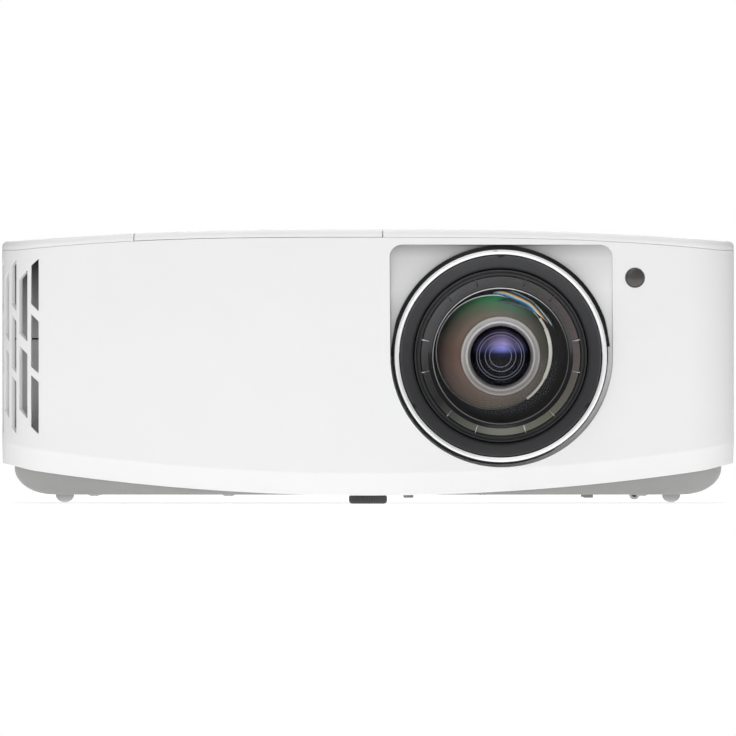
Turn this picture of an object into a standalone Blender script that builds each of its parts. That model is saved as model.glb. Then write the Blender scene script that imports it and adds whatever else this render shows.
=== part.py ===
"""Home projector, modelled as an assembly of separate pieces.

Metres, +Z up. The lens looks along -Y, +X is to the right of somebody who faces the lens, and the
origin is under the middle of the body, on the surface that the feet stand on.
"""

import math

import bmesh
import bpy
from mathutils import Matrix, Vector

# Overall body
WIDTH = 0.315
DEPTH = 0.270
HEIGHT = 0.118
HALF_X = WIDTH / 2
FRONT_Y = -DEPTH / 2
REAR_Y = DEPTH / 2
GAP = 0.0003
WALL = 0.0022

# Plan outline: a shallow front arc, two front corners and two rear corners
FRONT_ARC = 0.620
FRONT_CORNER = 0.026
REAR_CORNER = 0.014
ARC_STEPS = 6
CORNER_STEPS = 5
REAR_CORNER_STEPS = 3
REAR_STEPS = 4

# Front view: the heights of the edges follow powers of the distance from the middle
EDGE_HALF_SPAN = 0.151
CROWN_DROP = 0.0050
CROWN_POWER = 2.5
TOP_LINE = 0.1144
TOP_LINE_DROP = 0.0054
TOP_LINE_POWER = 3.0
SHELL_BOTTOM = 0.0036
SHELL_BOTTOM_RISE = 0.0116
CREASE_HEIGHT = 0.0095
CREASE_TUCK = 0.0016
LIP_INSET = 0.0062
LIP_RISE = 0.0006

# Top cover
CROWN_ROUND = 0.0026
CROWN_BORDER = 0.0060
CROWN_COLUMNS = 2 * REAR_STEPS
LID_LEFT = -0.100
LID_RIGHT = 0.0061
LID_REAR = -0.008
LID_SCREW_Y = -0.016
LID_SCREW_RADIUS = 0.0030
LID_SCREW_TIP = 0.1060

# Base tray
BASE_BOTTOM = 0.0039
BASE_INSET = 0.0065
BASE_RIM = 0.0185
BASE_ROUND_TOP = 0.0155
BASE_ROUND_WIDE = 0.019
BASE_ROUND_FRONT = 0.002
BASE_WALL = 0.0020
BASE_ROUND_STEPS = 3

# Lens, on an axis along Y
LENS_X = 0.057
LENS_Z = 0.0635
RING_FRONT = 0.1310
SHROUD_RADIUS = 0.0466
CHROME_OUTER = 0.0456
CHROME_INNER = 0.0436
FOCUS_OUTER = 0.0433
FOCUS_INNER = 0.0375
BARREL_RADIUS = 0.0370
RETAINER_INNER = 0.0288
INNER_RING_OUTER = 0.0172
INNER_RING_BORE = 0.0129

# Recess round the lens
RECESS_LEFT = 0.0093
RECESS_RIGHT = 0.1050
RECESS_TOP = 0.1113
RECESS_CORNER = 0.0053
RECESS_ROUND = 0.0485
RECESS_FLOOR = 0.1245
RECESS_WALL = 0.0013
FLOOR_THICK = 0.0020
FLOOR_HOLE = 0.0440

# Infrared window
IR_X = 0.115
IR_Z = 0.0971
IR_RADIUS = 0.0041

# Side vents, in groups along the outline. A column is its start, its width, and its openings:
# top at the front edge, top at the rear edge, bottom at the front edge, bottom at the rear edge.
VENT_START_ANGLE = math.radians(22.9)
VENT_PITCH = 0.0121
LEFT_VENT_GROUPS = 10
RIGHT_VENT_GROUPS = 7
RIGHT_VENT_START = 0.1080
VENT_COLUMNS = (
    (0.0000, 0.0037, (
        (0.1053, 0.1024, 0.0828, 0.0860),
        (0.0784, 0.0816, 0.0562, 0.0589),
        (0.0523, 0.0554, 0.0300, 0.0331),
    )),
    (0.0056, 0.0046, (
        (0.1004, 0.0965, 0.0697, 0.0735),
        (0.0643, 0.0680, 0.0367, 0.0408),
    )),
)

# Rear connector panel
PANEL_LEFT = -0.126
PANEL_RIGHT = 0.112
PANEL_BOTTOM = 0.022
PANEL_TOP = 0.100
PANEL_FRONT = 0.1300
PANEL_THICK = 0.0020
BOARD_Y = 0.1120
BOARD_THICK = 0.0016
PORT_FRONT = BOARD_Y + BOARD_THICK + GAP
PORT_REAR = 0.1334
# Name, middle X, middle Z, width, height of the shell, and width, height, depth of the socket
PORTS = (
    ("hdmi_port_1", 0.092, 0.040, 0.0165, 0.0070, 0.0141, 0.0046, 0.011),
    ("hdmi_port_2", 0.067, 0.040, 0.0165, 0.0070, 0.0141, 0.0046, 0.011),
    ("usb_port", 0.044, 0.040, 0.0150, 0.0072, 0.0126, 0.0048, 0.012),
    ("serial_port", 0.012, 0.040, 0.0310, 0.0125, 0.0180, 0.0086, 0.006),
)
JACK_X = (0.092, 0.079, 0.066)
JACK_Z = 0.066
JACK_HALF = 0.0055
JACK_BORE = 0.0018
JACK_DEPTH = 0.0140
INLET_X = -0.098
INLET_Z = 0.045
INLET_WIDTH = 0.0300
INLET_HEIGHT = 0.0220
INLET_CAVITY_WIDTH = 0.0240
INLET_CAVITY_HEIGHT = 0.0165
INLET_CAVITY_DEPTH = 0.0170

# Keypad: name, middle X, middle Y, radius
KEYPAD_X = 0.095
KEYPAD_Y = 0.062
ARROW_REACH = 0.0130
KEYS = (
    ("key_enter", KEYPAD_X, KEYPAD_Y, 0.0058),
    ("key_up", KEYPAD_X, KEYPAD_Y + ARROW_REACH, 0.0040),
    ("key_down", KEYPAD_X, KEYPAD_Y - ARROW_REACH, 0.0040),
    ("key_left", KEYPAD_X - ARROW_REACH, KEYPAD_Y, 0.0040),
    ("key_right", KEYPAD_X + ARROW_REACH, KEYPAD_Y, 0.0040),
    ("key_power", 0.063, KEYPAD_Y, 0.0055),
    ("key_menu", 0.120, KEYPAD_Y + 0.012, 0.0036),
    ("key_source", 0.120, KEYPAD_Y - 0.012, 0.0036),
)
KEY_PROUD = 0.0004
KEY_HEIGHT = 0.0047
KEY_FLANGE = 0.0010
KEY_HOLE_GAP = 0.0003
KEY_BOARD_TOP = 0.1098

# Feet: name, X, Y, pad radius, stud radius
FEET = (
    ("front_foot", 0.0, -0.108, 0.0082, 0.0025),
    ("rear_foot_left", -0.1325, 0.105, 0.0040, 0.0015),
    ("rear_foot_right", 0.1325, 0.105, 0.0040, 0.0015),
)
FOOT_TOP = 0.0036
STUD_TOP = 0.0220
PAD_FLOOR = 0.0012

# Under the base
BOSS_X = (0.0175, 0.0950)
BOSS_Y = (-0.060, 0.075)
BOSS_RADIUS = 0.00215
BOSS_BORE = 0.0012
BOSS_BOTTOM = 0.0024
BOSS_TOP = 0.0120
SECURITY_X = 0.116
SECURITY_Y = 0.060
SECURITY_REACH = 0.0065
SECURITY_BOTTOM = 0.0023
SECURITY_WIRE = 0.0010

# Fans
FAN_SIZE = 0.080
FAN_DEPTH = 0.025
FAN_BORE = 0.0375
FAN_HUB = 0.0150
FAN_BLADE_TIP = 0.0362
FAN_BLADES = 7
FAN_Z = 0.060
INTAKE_X = -0.1392
INTAKE_Y = -0.048
EXHAUST_X = 0.1392
EXHAUST_Y = 0.048

# Light source and colour wheel, on an axis along Y
LAMP_X = -0.042
LAMP_Z = 0.060
WHEEL_X = -0.028
WHEEL_Z = 0.046
WHEEL_RADIUS = 0.025
WHEEL_Y = -0.0300
WHEEL_THICK = 0.0014

# Rotations that turn local +Z
AIM_FRONT = (math.pi / 2, 0, 0)
AIM_REAR = (-math.pi / 2, 0, 0)
AIM_RIGHT = (0, math.pi / 2, 0)
AIM_UP = (0, 0, 0)

SMOOTH_ANGLE = math.radians(35)
MERGE = 0.00001
LONG = 0.4


# ---------------------------------------------------------------- scene and materials

def clear_scene():
    """Remove whatever the file holds."""
    for obj in list(bpy.data.objects):
        bpy.data.objects.remove(obj, do_unlink=True)


def new_collection(name):
    """Make a collection in the scene."""
    collection = bpy.data.collections.new(name)
    bpy.context.scene.collection.children.link(collection)
    return collection


def make_material(name, colour, roughness, metallic=0.0):
    """A Principled BSDF with a plain colour."""
    material = bpy.data.materials.new(name)
    material.use_nodes = True
    shader = material.node_tree.nodes["Principled BSDF"]
    shader.inputs["Base Color"].default_value = (*colour, 1.0)
    shader.inputs["Roughness"].default_value = roughness
    shader.inputs["Metallic"].default_value = metallic
    return material


clear_scene()
PARTS = new_collection("home_projector")
CUTTERS = new_collection("cutters")

FINISH = {
    "white_shell": ((0.86, 0.86, 0.86), 0.45, 0.0),
    "base_grey": ((0.42, 0.42, 0.42), 0.55, 0.0),
    "light_grey": ((0.62, 0.62, 0.61), 0.50, 0.0),
    "black_plastic": ((0.03, 0.03, 0.03), 0.40, 0.0),
    "matte_black": ((0.06, 0.06, 0.06), 0.70, 0.0),
    "chrome": ((0.80, 0.80, 0.80), 0.10, 1.0),
    "satin_metal": ((0.55, 0.55, 0.56), 0.35, 1.0),
    "rubber": ((0.09, 0.09, 0.09), 0.85, 0.0),
    "lens_glass": ((0.20, 0.18, 0.22), 0.05, 0.0),
    "ir_window": ((0.10, 0.09, 0.09), 0.25, 0.0),
    "mirror_coat": ((0.85, 0.86, 0.88), 0.05, 1.0),
    "circuit_board": ((0.04, 0.20, 0.08), 0.50, 0.0),
    "key_white": ((0.75, 0.75, 0.75), 0.50, 0.0),
    "wheel_glass": ((0.60, 0.55, 0.30), 0.10, 0.0),
}
MATERIALS = {name: make_material(name, *finish) for name, finish in FINISH.items()}


# ---------------------------------------------------------------- shape helpers

def add_object(name, bm, slot, location=(0, 0, 0), rotation=(0, 0, 0), cutter=False):
    """Turn a bmesh into an object, as a part or as a cutter."""
    mesh = bpy.data.meshes.new(name)
    bm.to_mesh(mesh)
    bm.free()
    obj = bpy.data.objects.new(name, mesh)
    obj.location = location
    obj.rotation_euler = rotation
    if cutter:
        CUTTERS.objects.link(obj)
        obj.hide_render = True
        obj.display_type = "WIRE"
    else:
        PARTS.objects.link(obj)
        mesh.materials.append(MATERIALS[slot])
    return obj


def smooth(obj):
    """Shade round faces smooth and keep the real edges sharp."""
    obj.data.shade_smooth()
    obj.data.set_sharp_from_angle(angle=SMOOTH_ANGLE)


def box(name, low, high, slot=None, bevel=0.0, cutter=False):
    """A box between two corners, with its origin at its middle."""
    low, high = Vector(low), Vector(high)
    bm = bmesh.new()
    bmesh.ops.create_cube(bm, size=1.0, matrix=Matrix.Diagonal((*(high - low), 1.0)))
    obj = add_object(name, bm, slot, location=(low + high) / 2, cutter=cutter)
    if bevel:
        modifier = obj.modifiers.new("rounded_edges", "BEVEL")
        modifier.width = bevel
        modifier.segments = 1
    return obj


def cylinder(name, radius, length, centre, rotation=AIM_UP, slot=None, steps=32, cutter=False):
    """A cylinder about local Z, centred on its middle."""
    bm = bmesh.new()
    bmesh.ops.create_cone(bm, cap_ends=True, segments=steps, radius1=radius, radius2=radius, depth=length)
    obj = add_object(name, bm, slot, location=centre, rotation=rotation, cutter=cutter)
    if not cutter:
        smooth(obj)
    return obj


def turned(name, profile, origin, rotation=AIM_UP, slot=None, steps=40, closed=True):
    """A profile of (radius, height) points turned about local Z.

    The profile runs down the outer side and up the bore; an open profile starts and ends on the axis.
    """
    bm = bmesh.new()
    verts = [bm.verts.new((radius, 0.0, height)) for radius, height in profile]
    for start, end in zip(verts, verts[1:]):
        bm.edges.new((start, end))
    if closed:
        bm.edges.new((verts[-1], verts[0]))
    obj = add_object(name, bm, slot, location=origin, rotation=rotation)
    screw = obj.modifiers.new("turned", "SCREW")
    screw.axis = "Z"
    screw.angle = math.tau
    screw.steps = steps
    screw.render_steps = steps
    screw.use_merge_vertices = True
    screw.merge_threshold = MERGE
    screw.use_smooth_shade = True
    if not closed:
        weld = obj.modifiers.new("closed_tip", "WELD")
        weld.merge_threshold = MERGE
    return obj


def boolean(obj, other, operation="DIFFERENCE"):
    """Cut, join or intersect with another object."""
    modifier = obj.modifiers.new(operation.lower(), "BOOLEAN")
    modifier.operation = operation
    modifier.solver = "EXACT"
    modifier.object = other


def extruded(name, points, low, high, slot=None, axis="Z", cutter=False):
    """A closed outline of (a, b) points extruded along Z, or along Y with points of (x, z)."""
    bm = bmesh.new()
    if axis == "Z":
        verts = [bm.verts.new((a, b, low)) for a, b in points]
        step = Vector((0, 0, high - low))
    else:
        verts = [bm.verts.new((a, low, b)) for a, b in points]
        step = Vector((0, high - low, 0))
    face = bm.faces.new(verts)
    made = bmesh.ops.extrude_face_region(bm, geom=[face])
    top = [item for item in made["geom"] if isinstance(item, bmesh.types.BMVert)]
    bmesh.ops.translate(bm, verts=top, vec=step)
    bmesh.ops.recalc_face_normals(bm, faces=bm.faces)
    return add_object(name, bm, slot, cutter=cutter)


def arc(centre_a, centre_b, radius, start, end, steps):
    """Points along an arc, from one angle to another in degrees, both ends included."""
    angles = [math.radians(start + (end - start) * i / steps) for i in range(steps + 1)]
    return [(centre_a + radius * math.cos(t), centre_b + radius * math.sin(t)) for t in angles]


# ---------------------------------------------------------------- body outline and edge heights

def span(x):
    """Distance from the middle, from 0 to 1 at the ends of the front edges."""
    return min(abs(x) / EDGE_HALF_SPAN, 1.0)


def crown_height(x):
    return HEIGHT - CROWN_DROP * span(x) ** CROWN_POWER


def top_line_height(x):
    return TOP_LINE - TOP_LINE_DROP * span(x) ** TOP_LINE_POWER


def shell_bottom_height(x):
    return SHELL_BOTTOM + SHELL_BOTTOM_RISE * span(x) ** 2


def right_half(side, front, rear, corner, rear_corner):
    """Right half of the plan outline, from the front middle to the rear middle."""
    centre_y = FRONT_Y + FRONT_ARC
    arc_radius = FRONT_ARC - front
    corner_x = HALF_X - side - corner
    corner_y = centre_y - math.sqrt((arc_radius - corner) ** 2 - corner_x ** 2)
    meet = math.atan2(corner_x, centre_y - corner_y)
    points = []
    for i in range(ARC_STEPS):
        angle = meet * i / ARC_STEPS
        points.append((arc_radius * math.sin(angle), centre_y - arc_radius * math.cos(angle)))
    for i in range(CORNER_STEPS + 1):
        angle = meet + (math.pi / 2 - meet) * i / CORNER_STEPS
        points.append((corner_x + corner * math.sin(angle), corner_y - corner * math.cos(angle)))
    rear_x = HALF_X - side - rear_corner
    rear_y = REAR_Y - rear - rear_corner
    points += arc(rear_x, rear_y, rear_corner, 0, 90, REAR_CORNER_STEPS)
    for i in range(1, REAR_STEPS + 1):
        points.append((rear_x * (1 - i / REAR_STEPS), REAR_Y - rear))
    return points


def outline(side, front=None, rear=None, corner=None, rear_corner=None):
    """The whole plan outline, counter-clockwise from above, starting at the front middle."""
    front = side if front is None else front
    rear = side if rear is None else rear
    corner = FRONT_CORNER - side if corner is None else corner
    rear_corner = REAR_CORNER - side if rear_corner is None else rear_corner
    right = right_half(side, front, rear, corner, rear_corner)
    left = [(-x, y) for x, y in reversed(right[1:-1])]
    return right + left


def loft(bm, rings):
    """Join rings of vertices with quads, from the lowest ring to the highest, faces outwards."""
    rows = [[bm.verts.new(point) for point in ring] for ring in rings]
    for low, high in zip(rows, rows[1:]):
        count = len(low)
        for i in range(count):
            j = (i + 1) % count
            bm.faces.new((low[i], low[j], high[j], high[i]))
    return rows


def ring_at(inset, height):
    """One ring of the body outline, at a height that may depend on X."""
    return [(x, y, height(x)) for x, y in outline(inset)]


def thicken(obj, thickness):
    """Give an open surface a wall on its inner side."""
    modifier = obj.modifiers.new("wall", "SOLIDIFY")
    modifier.thickness = thickness
    modifier.offset = -1.0
    modifier.use_even_offset = True


# ---------------------------------------------------------------- casings

def vent_outline_point(distance):
    """Point and outward direction on the left outline, at a distance behind the first vent."""
    corner_x = HALF_X - FRONT_CORNER
    centre_y = FRONT_Y + FRONT_ARC
    corner_y = centre_y - math.sqrt((FRONT_ARC - FRONT_CORNER) ** 2 - corner_x ** 2)
    angle = VENT_START_ANGLE + distance / FRONT_CORNER
    if angle < math.pi / 2:
        outward = Vector((-math.sin(angle), -math.cos(angle)))
        return Vector((-corner_x, corner_y)) + FRONT_CORNER * outward, outward
    straight = distance - (math.pi / 2 - VENT_START_ANGLE) * FRONT_CORNER
    return Vector((-HALF_X, corner_y + straight)), Vector((-1, 0))


def add_vent_prisms(bm, side, start, groups):
    """Sloping openings through one side wall, for a cutter."""
    for group in range(groups):
        for offset, width, openings in VENT_COLUMNS:
            near = start + group * VENT_PITCH + offset
            ends = [vent_outline_point(near), vent_outline_point(near + width)]
            for top_near, top_far, bottom_near, bottom_far in openings:
                heights = ((bottom_near, top_near), (bottom_far, top_far))
                corners = []
                for reach in (-WALL * 2, WALL * 2):
                    flat = [point + outward * reach for point, outward in ends]
                    corners.append([
                        Vector((flat[0].x, flat[0].y, heights[0][0])),
                        Vector((flat[1].x, flat[1].y, heights[1][0])),
                        Vector((flat[1].x, flat[1].y, heights[1][1])),
                        Vector((flat[0].x, flat[0].y, heights[0][1])),
                    ])
                inner = [bm.verts.new((-side * x, y, z)) for x, y, z in corners[0]]
                outer = [bm.verts.new((-side * x, y, z)) for x, y, z in corners[1]]
                bm.faces.new(inner)
                bm.faces.new(list(reversed(outer)))
                for i in range(4):
                    j = (i + 1) % 4
                    bm.faces.new((inner[j], inner[i], outer[i], outer[j]))


def vent_cutter():
    """Every side opening, left and right, as one cutter."""
    bm = bmesh.new()
    add_vent_prisms(bm, -1, 0.0, LEFT_VENT_GROUPS)
    add_vent_prisms(bm, 1, RIGHT_VENT_START, RIGHT_VENT_GROUPS)
    bmesh.ops.recalc_face_normals(bm, faces=bm.faces)
    return add_object("vent_cutter", bm, None, cutter=True)


def recess_outline(inset):
    """Outline of the lens recess as (x, z): square above the lens middle, round below it."""
    left, right = RECESS_LEFT + inset, RECESS_RIGHT - inset
    top, corner = RECESS_TOP - inset, RECESS_CORNER - inset
    radius = RECESS_ROUND - inset
    meet_right = math.degrees(math.acos(min((right - LENS_X) / radius, 1.0)))
    meet_left = math.degrees(math.acos(min((LENS_X - left) / radius, 1.0)))
    points = arc(right - corner, top - corner, corner, 0, 90, 4)
    points += arc(left + corner, top - corner, corner, 90, 180, 4)
    points += arc(LENS_X, LENS_Z, radius, 180 + meet_left, 360 - meet_right, 28)
    return points


def lens_recess_cutter():
    return extruded("recess_cutter", recess_outline(0), -LONG, 0, axis="Y", cutter=True)


def wall_profile_shell(name, slot):
    """Closed wall round the body, with a tucked strip and an inward lip at the bottom."""
    bm = bmesh.new()
    loft(bm, [
        ring_at(LIP_INSET, lambda x: shell_bottom_height(x) + LIP_RISE),
        ring_at(CREASE_TUCK, shell_bottom_height),
        ring_at(0, lambda x: shell_bottom_height(x) + CREASE_HEIGHT),
        ring_at(0, top_line_height),
    ])
    obj = add_object(name, bm, slot)
    thicken(obj, WALL)
    return obj


def ir_window_place():
    """Where the infrared window sits on the front arc, and the rotation that faces it outwards."""
    y = FRONT_Y + FRONT_ARC - math.sqrt(FRONT_ARC ** 2 - IR_X ** 2)
    return (IR_X, y, IR_Z), (math.pi / 2, 0, math.asin(IR_X / FRONT_ARC))


def make_main_shell():
    shell = wall_profile_shell("main_shell", "white_shell")
    boolean(shell, lens_recess_cutter())
    place, turn = ir_window_place()
    boolean(shell, cylinder("ir_cutter", IR_RADIUS + GAP, 0.02, place, turn, steps=24, cutter=True))
    boolean(shell, box("panel_cutter", (PANEL_LEFT + GAP * 10, REAR_Y - 0.010, PANEL_BOTTOM + GAP * 10),
                       (PANEL_RIGHT - GAP * 10, REAR_Y + 0.010, PANEL_TOP - GAP * 10), cutter=True))
    boolean(shell, vent_cutter())
    smooth(shell)
    return shell


def crown_surface(bm):
    """Crowned top of the body, with a rounded edge and a short band down to the parting line."""
    rings = [
        ring_at(0, lambda x: top_line_height(x) + GAP),
        ring_at(0, lambda x: crown_height(x) - CROWN_ROUND),
    ]
    for degrees in (45, 90):
        angle = math.radians(degrees)
        inset = CROWN_ROUND * (1 - math.cos(angle))
        drop = CROWN_ROUND * (1 - math.sin(angle))
        rings.append(ring_at(inset, lambda x, drop=drop: crown_height(x) - drop))
    rings.append(ring_at(CROWN_BORDER, crown_height))
    rim = loft(bm, rings)[-1]
    count = len(rim)
    rear_start = count // 2 - REAR_STEPS
    rows = []
    for i in range(1, rear_start):
        right, left = rim[i], rim[count - i]
        row = [left]
        for column in range(1, CROWN_COLUMNS):
            x = left.co.x + (right.co.x - left.co.x) * column / CROWN_COLUMNS
            row.append(bm.verts.new((x, left.co.y, crown_height(x))))
        rows.append(row + [right])
    rows.append([rim[count - rear_start - column] for column in range(CROWN_COLUMNS + 1)])
    for left, right in zip(rows[0], rows[0][1:]):
        bm.faces.new((rim[0], right, left))
    for near, far in zip(rows, rows[1:]):
        for column in range(CROWN_COLUMNS):
            bm.faces.new((near[column], near[column + 1], far[column + 1], far[column]))


def crown_shell(name):
    """The whole top, before the lid is parted from it."""
    bm = bmesh.new()
    crown_surface(bm)
    obj = add_object(name, bm, "white_shell")
    thicken(obj, WALL)
    return obj


def lid_block(name, clearance):
    """The region of the top that belongs to the lamp cover, grown by a clearance."""
    return box(name, (LID_LEFT - clearance, FRONT_Y - 0.01, 0.100),
               (LID_RIGHT + clearance, LID_REAR + clearance, 0.130), cutter=True)


def make_top_cover():
    cover = crown_shell("top_cover")
    boolean(cover, lid_block("lid_opening", GAP))
    for name, x, y, radius in KEYS:
        boolean(cover, cylinder(f"{name}_hole", radius + KEY_HOLE_GAP, 0.03, (x, y, HEIGHT),
                                steps=24, cutter=True))
    smooth(cover)
    return cover


def make_lamp_cover():
    cover = crown_shell("lamp_cover")
    boolean(cover, lid_block("lid_region", 0), "INTERSECT")
    screw_x = (LID_LEFT + LID_RIGHT) / 2
    boolean(cover, cylinder("lid_screw_hole", LID_SCREW_RADIUS + GAP, 0.03, (screw_x, LID_SCREW_Y, HEIGHT),
                            steps=20, cutter=True))
    smooth(cover)
    top = crown_height(screw_x) - GAP
    turned("lamp_cover_screw", (
        (0, top), (LID_SCREW_RADIUS, top), (LID_SCREW_RADIUS, top - WALL),
        (LID_SCREW_RADIUS / 2, top - WALL), (LID_SCREW_RADIUS / 2, LID_SCREW_TIP), (0, LID_SCREW_TIP),
    ), (screw_x, LID_SCREW_Y, 0), slot="satin_metal", steps=20, closed=False)


def make_base_tray():
    """Pan under the body, rounded up to the rim at both ends."""
    bm = bmesh.new()
    rim = [(x, y, BASE_RIM) for x, y in outline(BASE_INSET, rear=BASE_INSET)]
    rings = [rim]
    for i in range(BASE_ROUND_STEPS + 1):
        angle = math.pi / 2 * i / BASE_ROUND_STEPS
        side = BASE_INSET + BASE_ROUND_WIDE * (1 - math.cos(angle))
        front = BASE_INSET + BASE_ROUND_FRONT * (1 - math.cos(angle))
        z = BASE_ROUND_TOP - (BASE_ROUND_TOP - BASE_BOTTOM) * math.sin(angle)
        corner = FRONT_CORNER - BASE_INSET
        rear_corner = REAR_CORNER - BASE_INSET
        rings.append([(x, y, z) for x, y in outline(side, front, front, corner, rear_corner)])
    rings.reverse()
    rows = loft(bm, rings)
    bm.faces.new(list(reversed(rows[0])))
    obj = add_object("base_tray", bm, "base_grey")
    thicken(obj, BASE_WALL)
    for name, x, y, _, stud_radius in FEET:
        boolean(obj, cylinder(f"{name}_hole", stud_radius + GAP, 0.02, (x, y, BASE_BOTTOM),
                              steps=20, cutter=True))
    for x in BOSS_X:
        for y in BOSS_Y:
            middle = (x, y, (BOSS_BOTTOM + BOSS_TOP) / 2)
            boolean(obj, cylinder("boss", BOSS_RADIUS, BOSS_TOP - BOSS_BOTTOM, middle, steps=16,
                                  cutter=True), "UNION")
            boolean(obj, cylinder("boss_bore", BOSS_BORE, BOSS_TOP - BOSS_BOTTOM, (x, y, BOSS_BOTTOM),
                                  steps=12, cutter=True))
    boolean(obj, cylinder("lens_clearance", RECESS_ROUND + 2 * GAP, 0.04, (LENS_X, FRONT_Y, LENS_Z),
                          AIM_FRONT, steps=48, cutter=True))
    boolean(obj, box("security_slot", (SECURITY_X - 0.005, SECURITY_Y - SECURITY_REACH, -0.01),
                     (SECURITY_X + 0.005, SECURITY_Y + SECURITY_REACH, 0.02), cutter=True))
    smooth(obj)
    return obj


def make_lens_bezel():
    """White cup that closes the recess round the lens, with a flat floor behind the ring."""
    bezel = extruded("lens_bezel", recess_outline(GAP), -HALF_X, -RECESS_FLOOR + FLOOR_THICK,
                     "white_shell", axis="Y")
    trim = extruded("bezel_trim", outline(GAP), 0, HEIGHT, cutter=True)
    boolean(bezel, trim, "INTERSECT")
    boolean(bezel, extruded("bezel_hollow", recess_outline(RECESS_WALL), -LONG, -RECESS_FLOOR,
                            axis="Y", cutter=True))
    ring_room = LONG - RECESS_FLOOR
    ring_place = (LENS_X, -RECESS_FLOOR - ring_room / 2, LENS_Z)
    boolean(bezel, cylinder("bezel_ring_room", SHROUD_RADIUS + GAP, ring_room, ring_place, AIM_FRONT,
                            steps=48, cutter=True))
    boolean(bezel, cylinder("bezel_hole", FLOOR_HOLE, LONG, (LENS_X, -RECESS_FLOOR, LENS_Z), AIM_FRONT,
                            steps=48, cutter=True))
    smooth(bezel)
    return bezel


def make_rear_panel():
    """Flat plate behind the rear opening, with a cut-out for each connector."""
    panel = box("rear_panel", (PANEL_LEFT, PANEL_FRONT, PANEL_BOTTOM),
                (PANEL_RIGHT, PANEL_FRONT + PANEL_THICK, PANEL_TOP), "light_grey")
    for name, x, z, width, height, *_ in PORTS:
        boolean(panel, box(f"{name}_hole", (x - width / 2 - GAP, PANEL_FRONT - 0.01, z - height / 2 - GAP),
                           (x + width / 2 + GAP, REAR_Y, z + height / 2 + GAP), cutter=True))
    jack_room = JACK_HALF + GAP
    boolean(panel, box("jack_hole", (min(JACK_X) - jack_room, PANEL_FRONT - 0.01, JACK_Z - jack_room),
                       (max(JACK_X) + jack_room, REAR_Y, JACK_Z + jack_room), cutter=True))
    half_x, half_z = INLET_WIDTH / 2 + GAP, INLET_HEIGHT / 2 + GAP
    boolean(panel, box("inlet_hole", (INLET_X - half_x, PANEL_FRONT - 0.01, INLET_Z - half_z),
                       (INLET_X + half_x, REAR_Y, INLET_Z + half_z), cutter=True))
    return panel


# ---------------------------------------------------------------- lens

def lens_part(name, profile, slot, steps=48, closed=True):
    """Turned about the lens axis; profile heights are distances ahead of the middle of the body."""
    return turned(name, profile, (LENS_X, 0, LENS_Z), AIM_FRONT, slot, steps, closed)


def make_lens():
    shroud_back = RECESS_FLOOR + GAP
    lens_part("lens_shroud", (
        (SHROUD_RADIUS, RING_FRONT), (SHROUD_RADIUS, shroud_back), (0.0438, shroud_back),
        (0.0438, shroud_back + 0.0014), (0.0459, shroud_back + 0.0014), (0.0459, RING_FRONT),
    ), "black_plastic", 40)
    lens_part("chrome_trim_ring", (
        (CHROME_OUTER - 0.0006, RING_FRONT + 0.0004), (CHROME_OUTER, RING_FRONT - 0.0006),
        (CHROME_OUTER, shroud_back + 0.0018), (CHROME_INNER, shroud_back + 0.0018),
        (CHROME_INNER, RING_FRONT - 0.0008), (CHROME_INNER + 0.0004, RING_FRONT + 0.0004),
    ), "chrome", 40)
    lens_part("focus_ring", (
        (FOCUS_OUTER, 0.1302), (FOCUS_OUTER, 0.1255), (0.0412, 0.1235), (0.0412, 0.1120),
        (FOCUS_INNER, 0.1120), (FOCUS_INNER, 0.1215), (0.0427, 0.1302),
    ), "matte_black", 40)
    lens_part("lens_barrel", (
        (BARREL_RADIUS, 0.1232), (BARREL_RADIUS, 0.0620), (0.0300, 0.0620), (0.0300, 0.0462),
        (0.0270, 0.0462), (0.0270, 0.0660), (0.0322, 0.0660), (0.0322, 0.1150), (0.0345, 0.1150),
        (0.0345, 0.1222),
    ), "black_plastic", 36)
    lens_part("lens_retaining_ring", (
        (0.0341, 0.1212), (0.0341, 0.1188), (RETAINER_INNER, 0.1172), (RETAINER_INNER, 0.1178),
    ), "black_plastic", 36)
    lens_part("front_glass", (
        (0.0, 0.1168), (0.0110, 0.1163), (0.0210, 0.1147), (0.0280, 0.1126), (0.0316, 0.1110),
        (0.0316, 0.1085), (0.0200, 0.1108), (0.0100, 0.1128), (0.0, 0.1134),
    ), "lens_glass", 28, closed=False)
    lens_part("inner_ring", (
        (INNER_RING_OUTER, 0.1085), (INNER_RING_OUTER, 0.1060), (0.0318, 0.0950), (0.0318, 0.0930),
        (INNER_RING_BORE, 0.0930), (INNER_RING_BORE, 0.1060),
    ), "satin_metal", 28)
    lens_part("second_glass", (
        (0.0, 0.1045), (0.0060, 0.1034), (0.0100, 0.1008), (0.0120, 0.0975), (0.0120, 0.0940),
        (0.0, 0.0920),
    ), "lens_glass", 24, closed=False)
    lens_part("rear_lens_tube", (
        (0.0240, 0.0430), (0.0240, 0.0143), (0.0210, 0.0143), (0.0210, 0.0430),
    ), "black_plastic", 24)
    lens_part("rear_glass", (
        (0.0, 0.0410), (0.0120, 0.0395), (0.0206, 0.0360), (0.0206, 0.0320), (0.0, 0.0300),
    ), "lens_glass", 24, closed=False)
    flange = box("lens_flange", (LENS_X - 0.044, -0.0520, LENS_Z - 0.044),
                 (LENS_X + 0.044, -0.0480, LENS_Z + 0.044), "satin_metal")
    boolean(flange, cylinder("flange_hole", 0.0303, 0.02, (LENS_X, -0.050, LENS_Z), AIM_FRONT,
                             steps=40, cutter=True))
    turned("ir_window", (
        (0.0, 0.0009), (IR_RADIUS - 0.0012, 0.0005), (IR_RADIUS, -0.0004), (IR_RADIUS, -0.0030),
        (0.0, -0.0030),
    ), *ir_window_place(), "ir_window", 20, closed=False)


# ---------------------------------------------------------------- keypad, feet and small outside pieces

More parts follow.
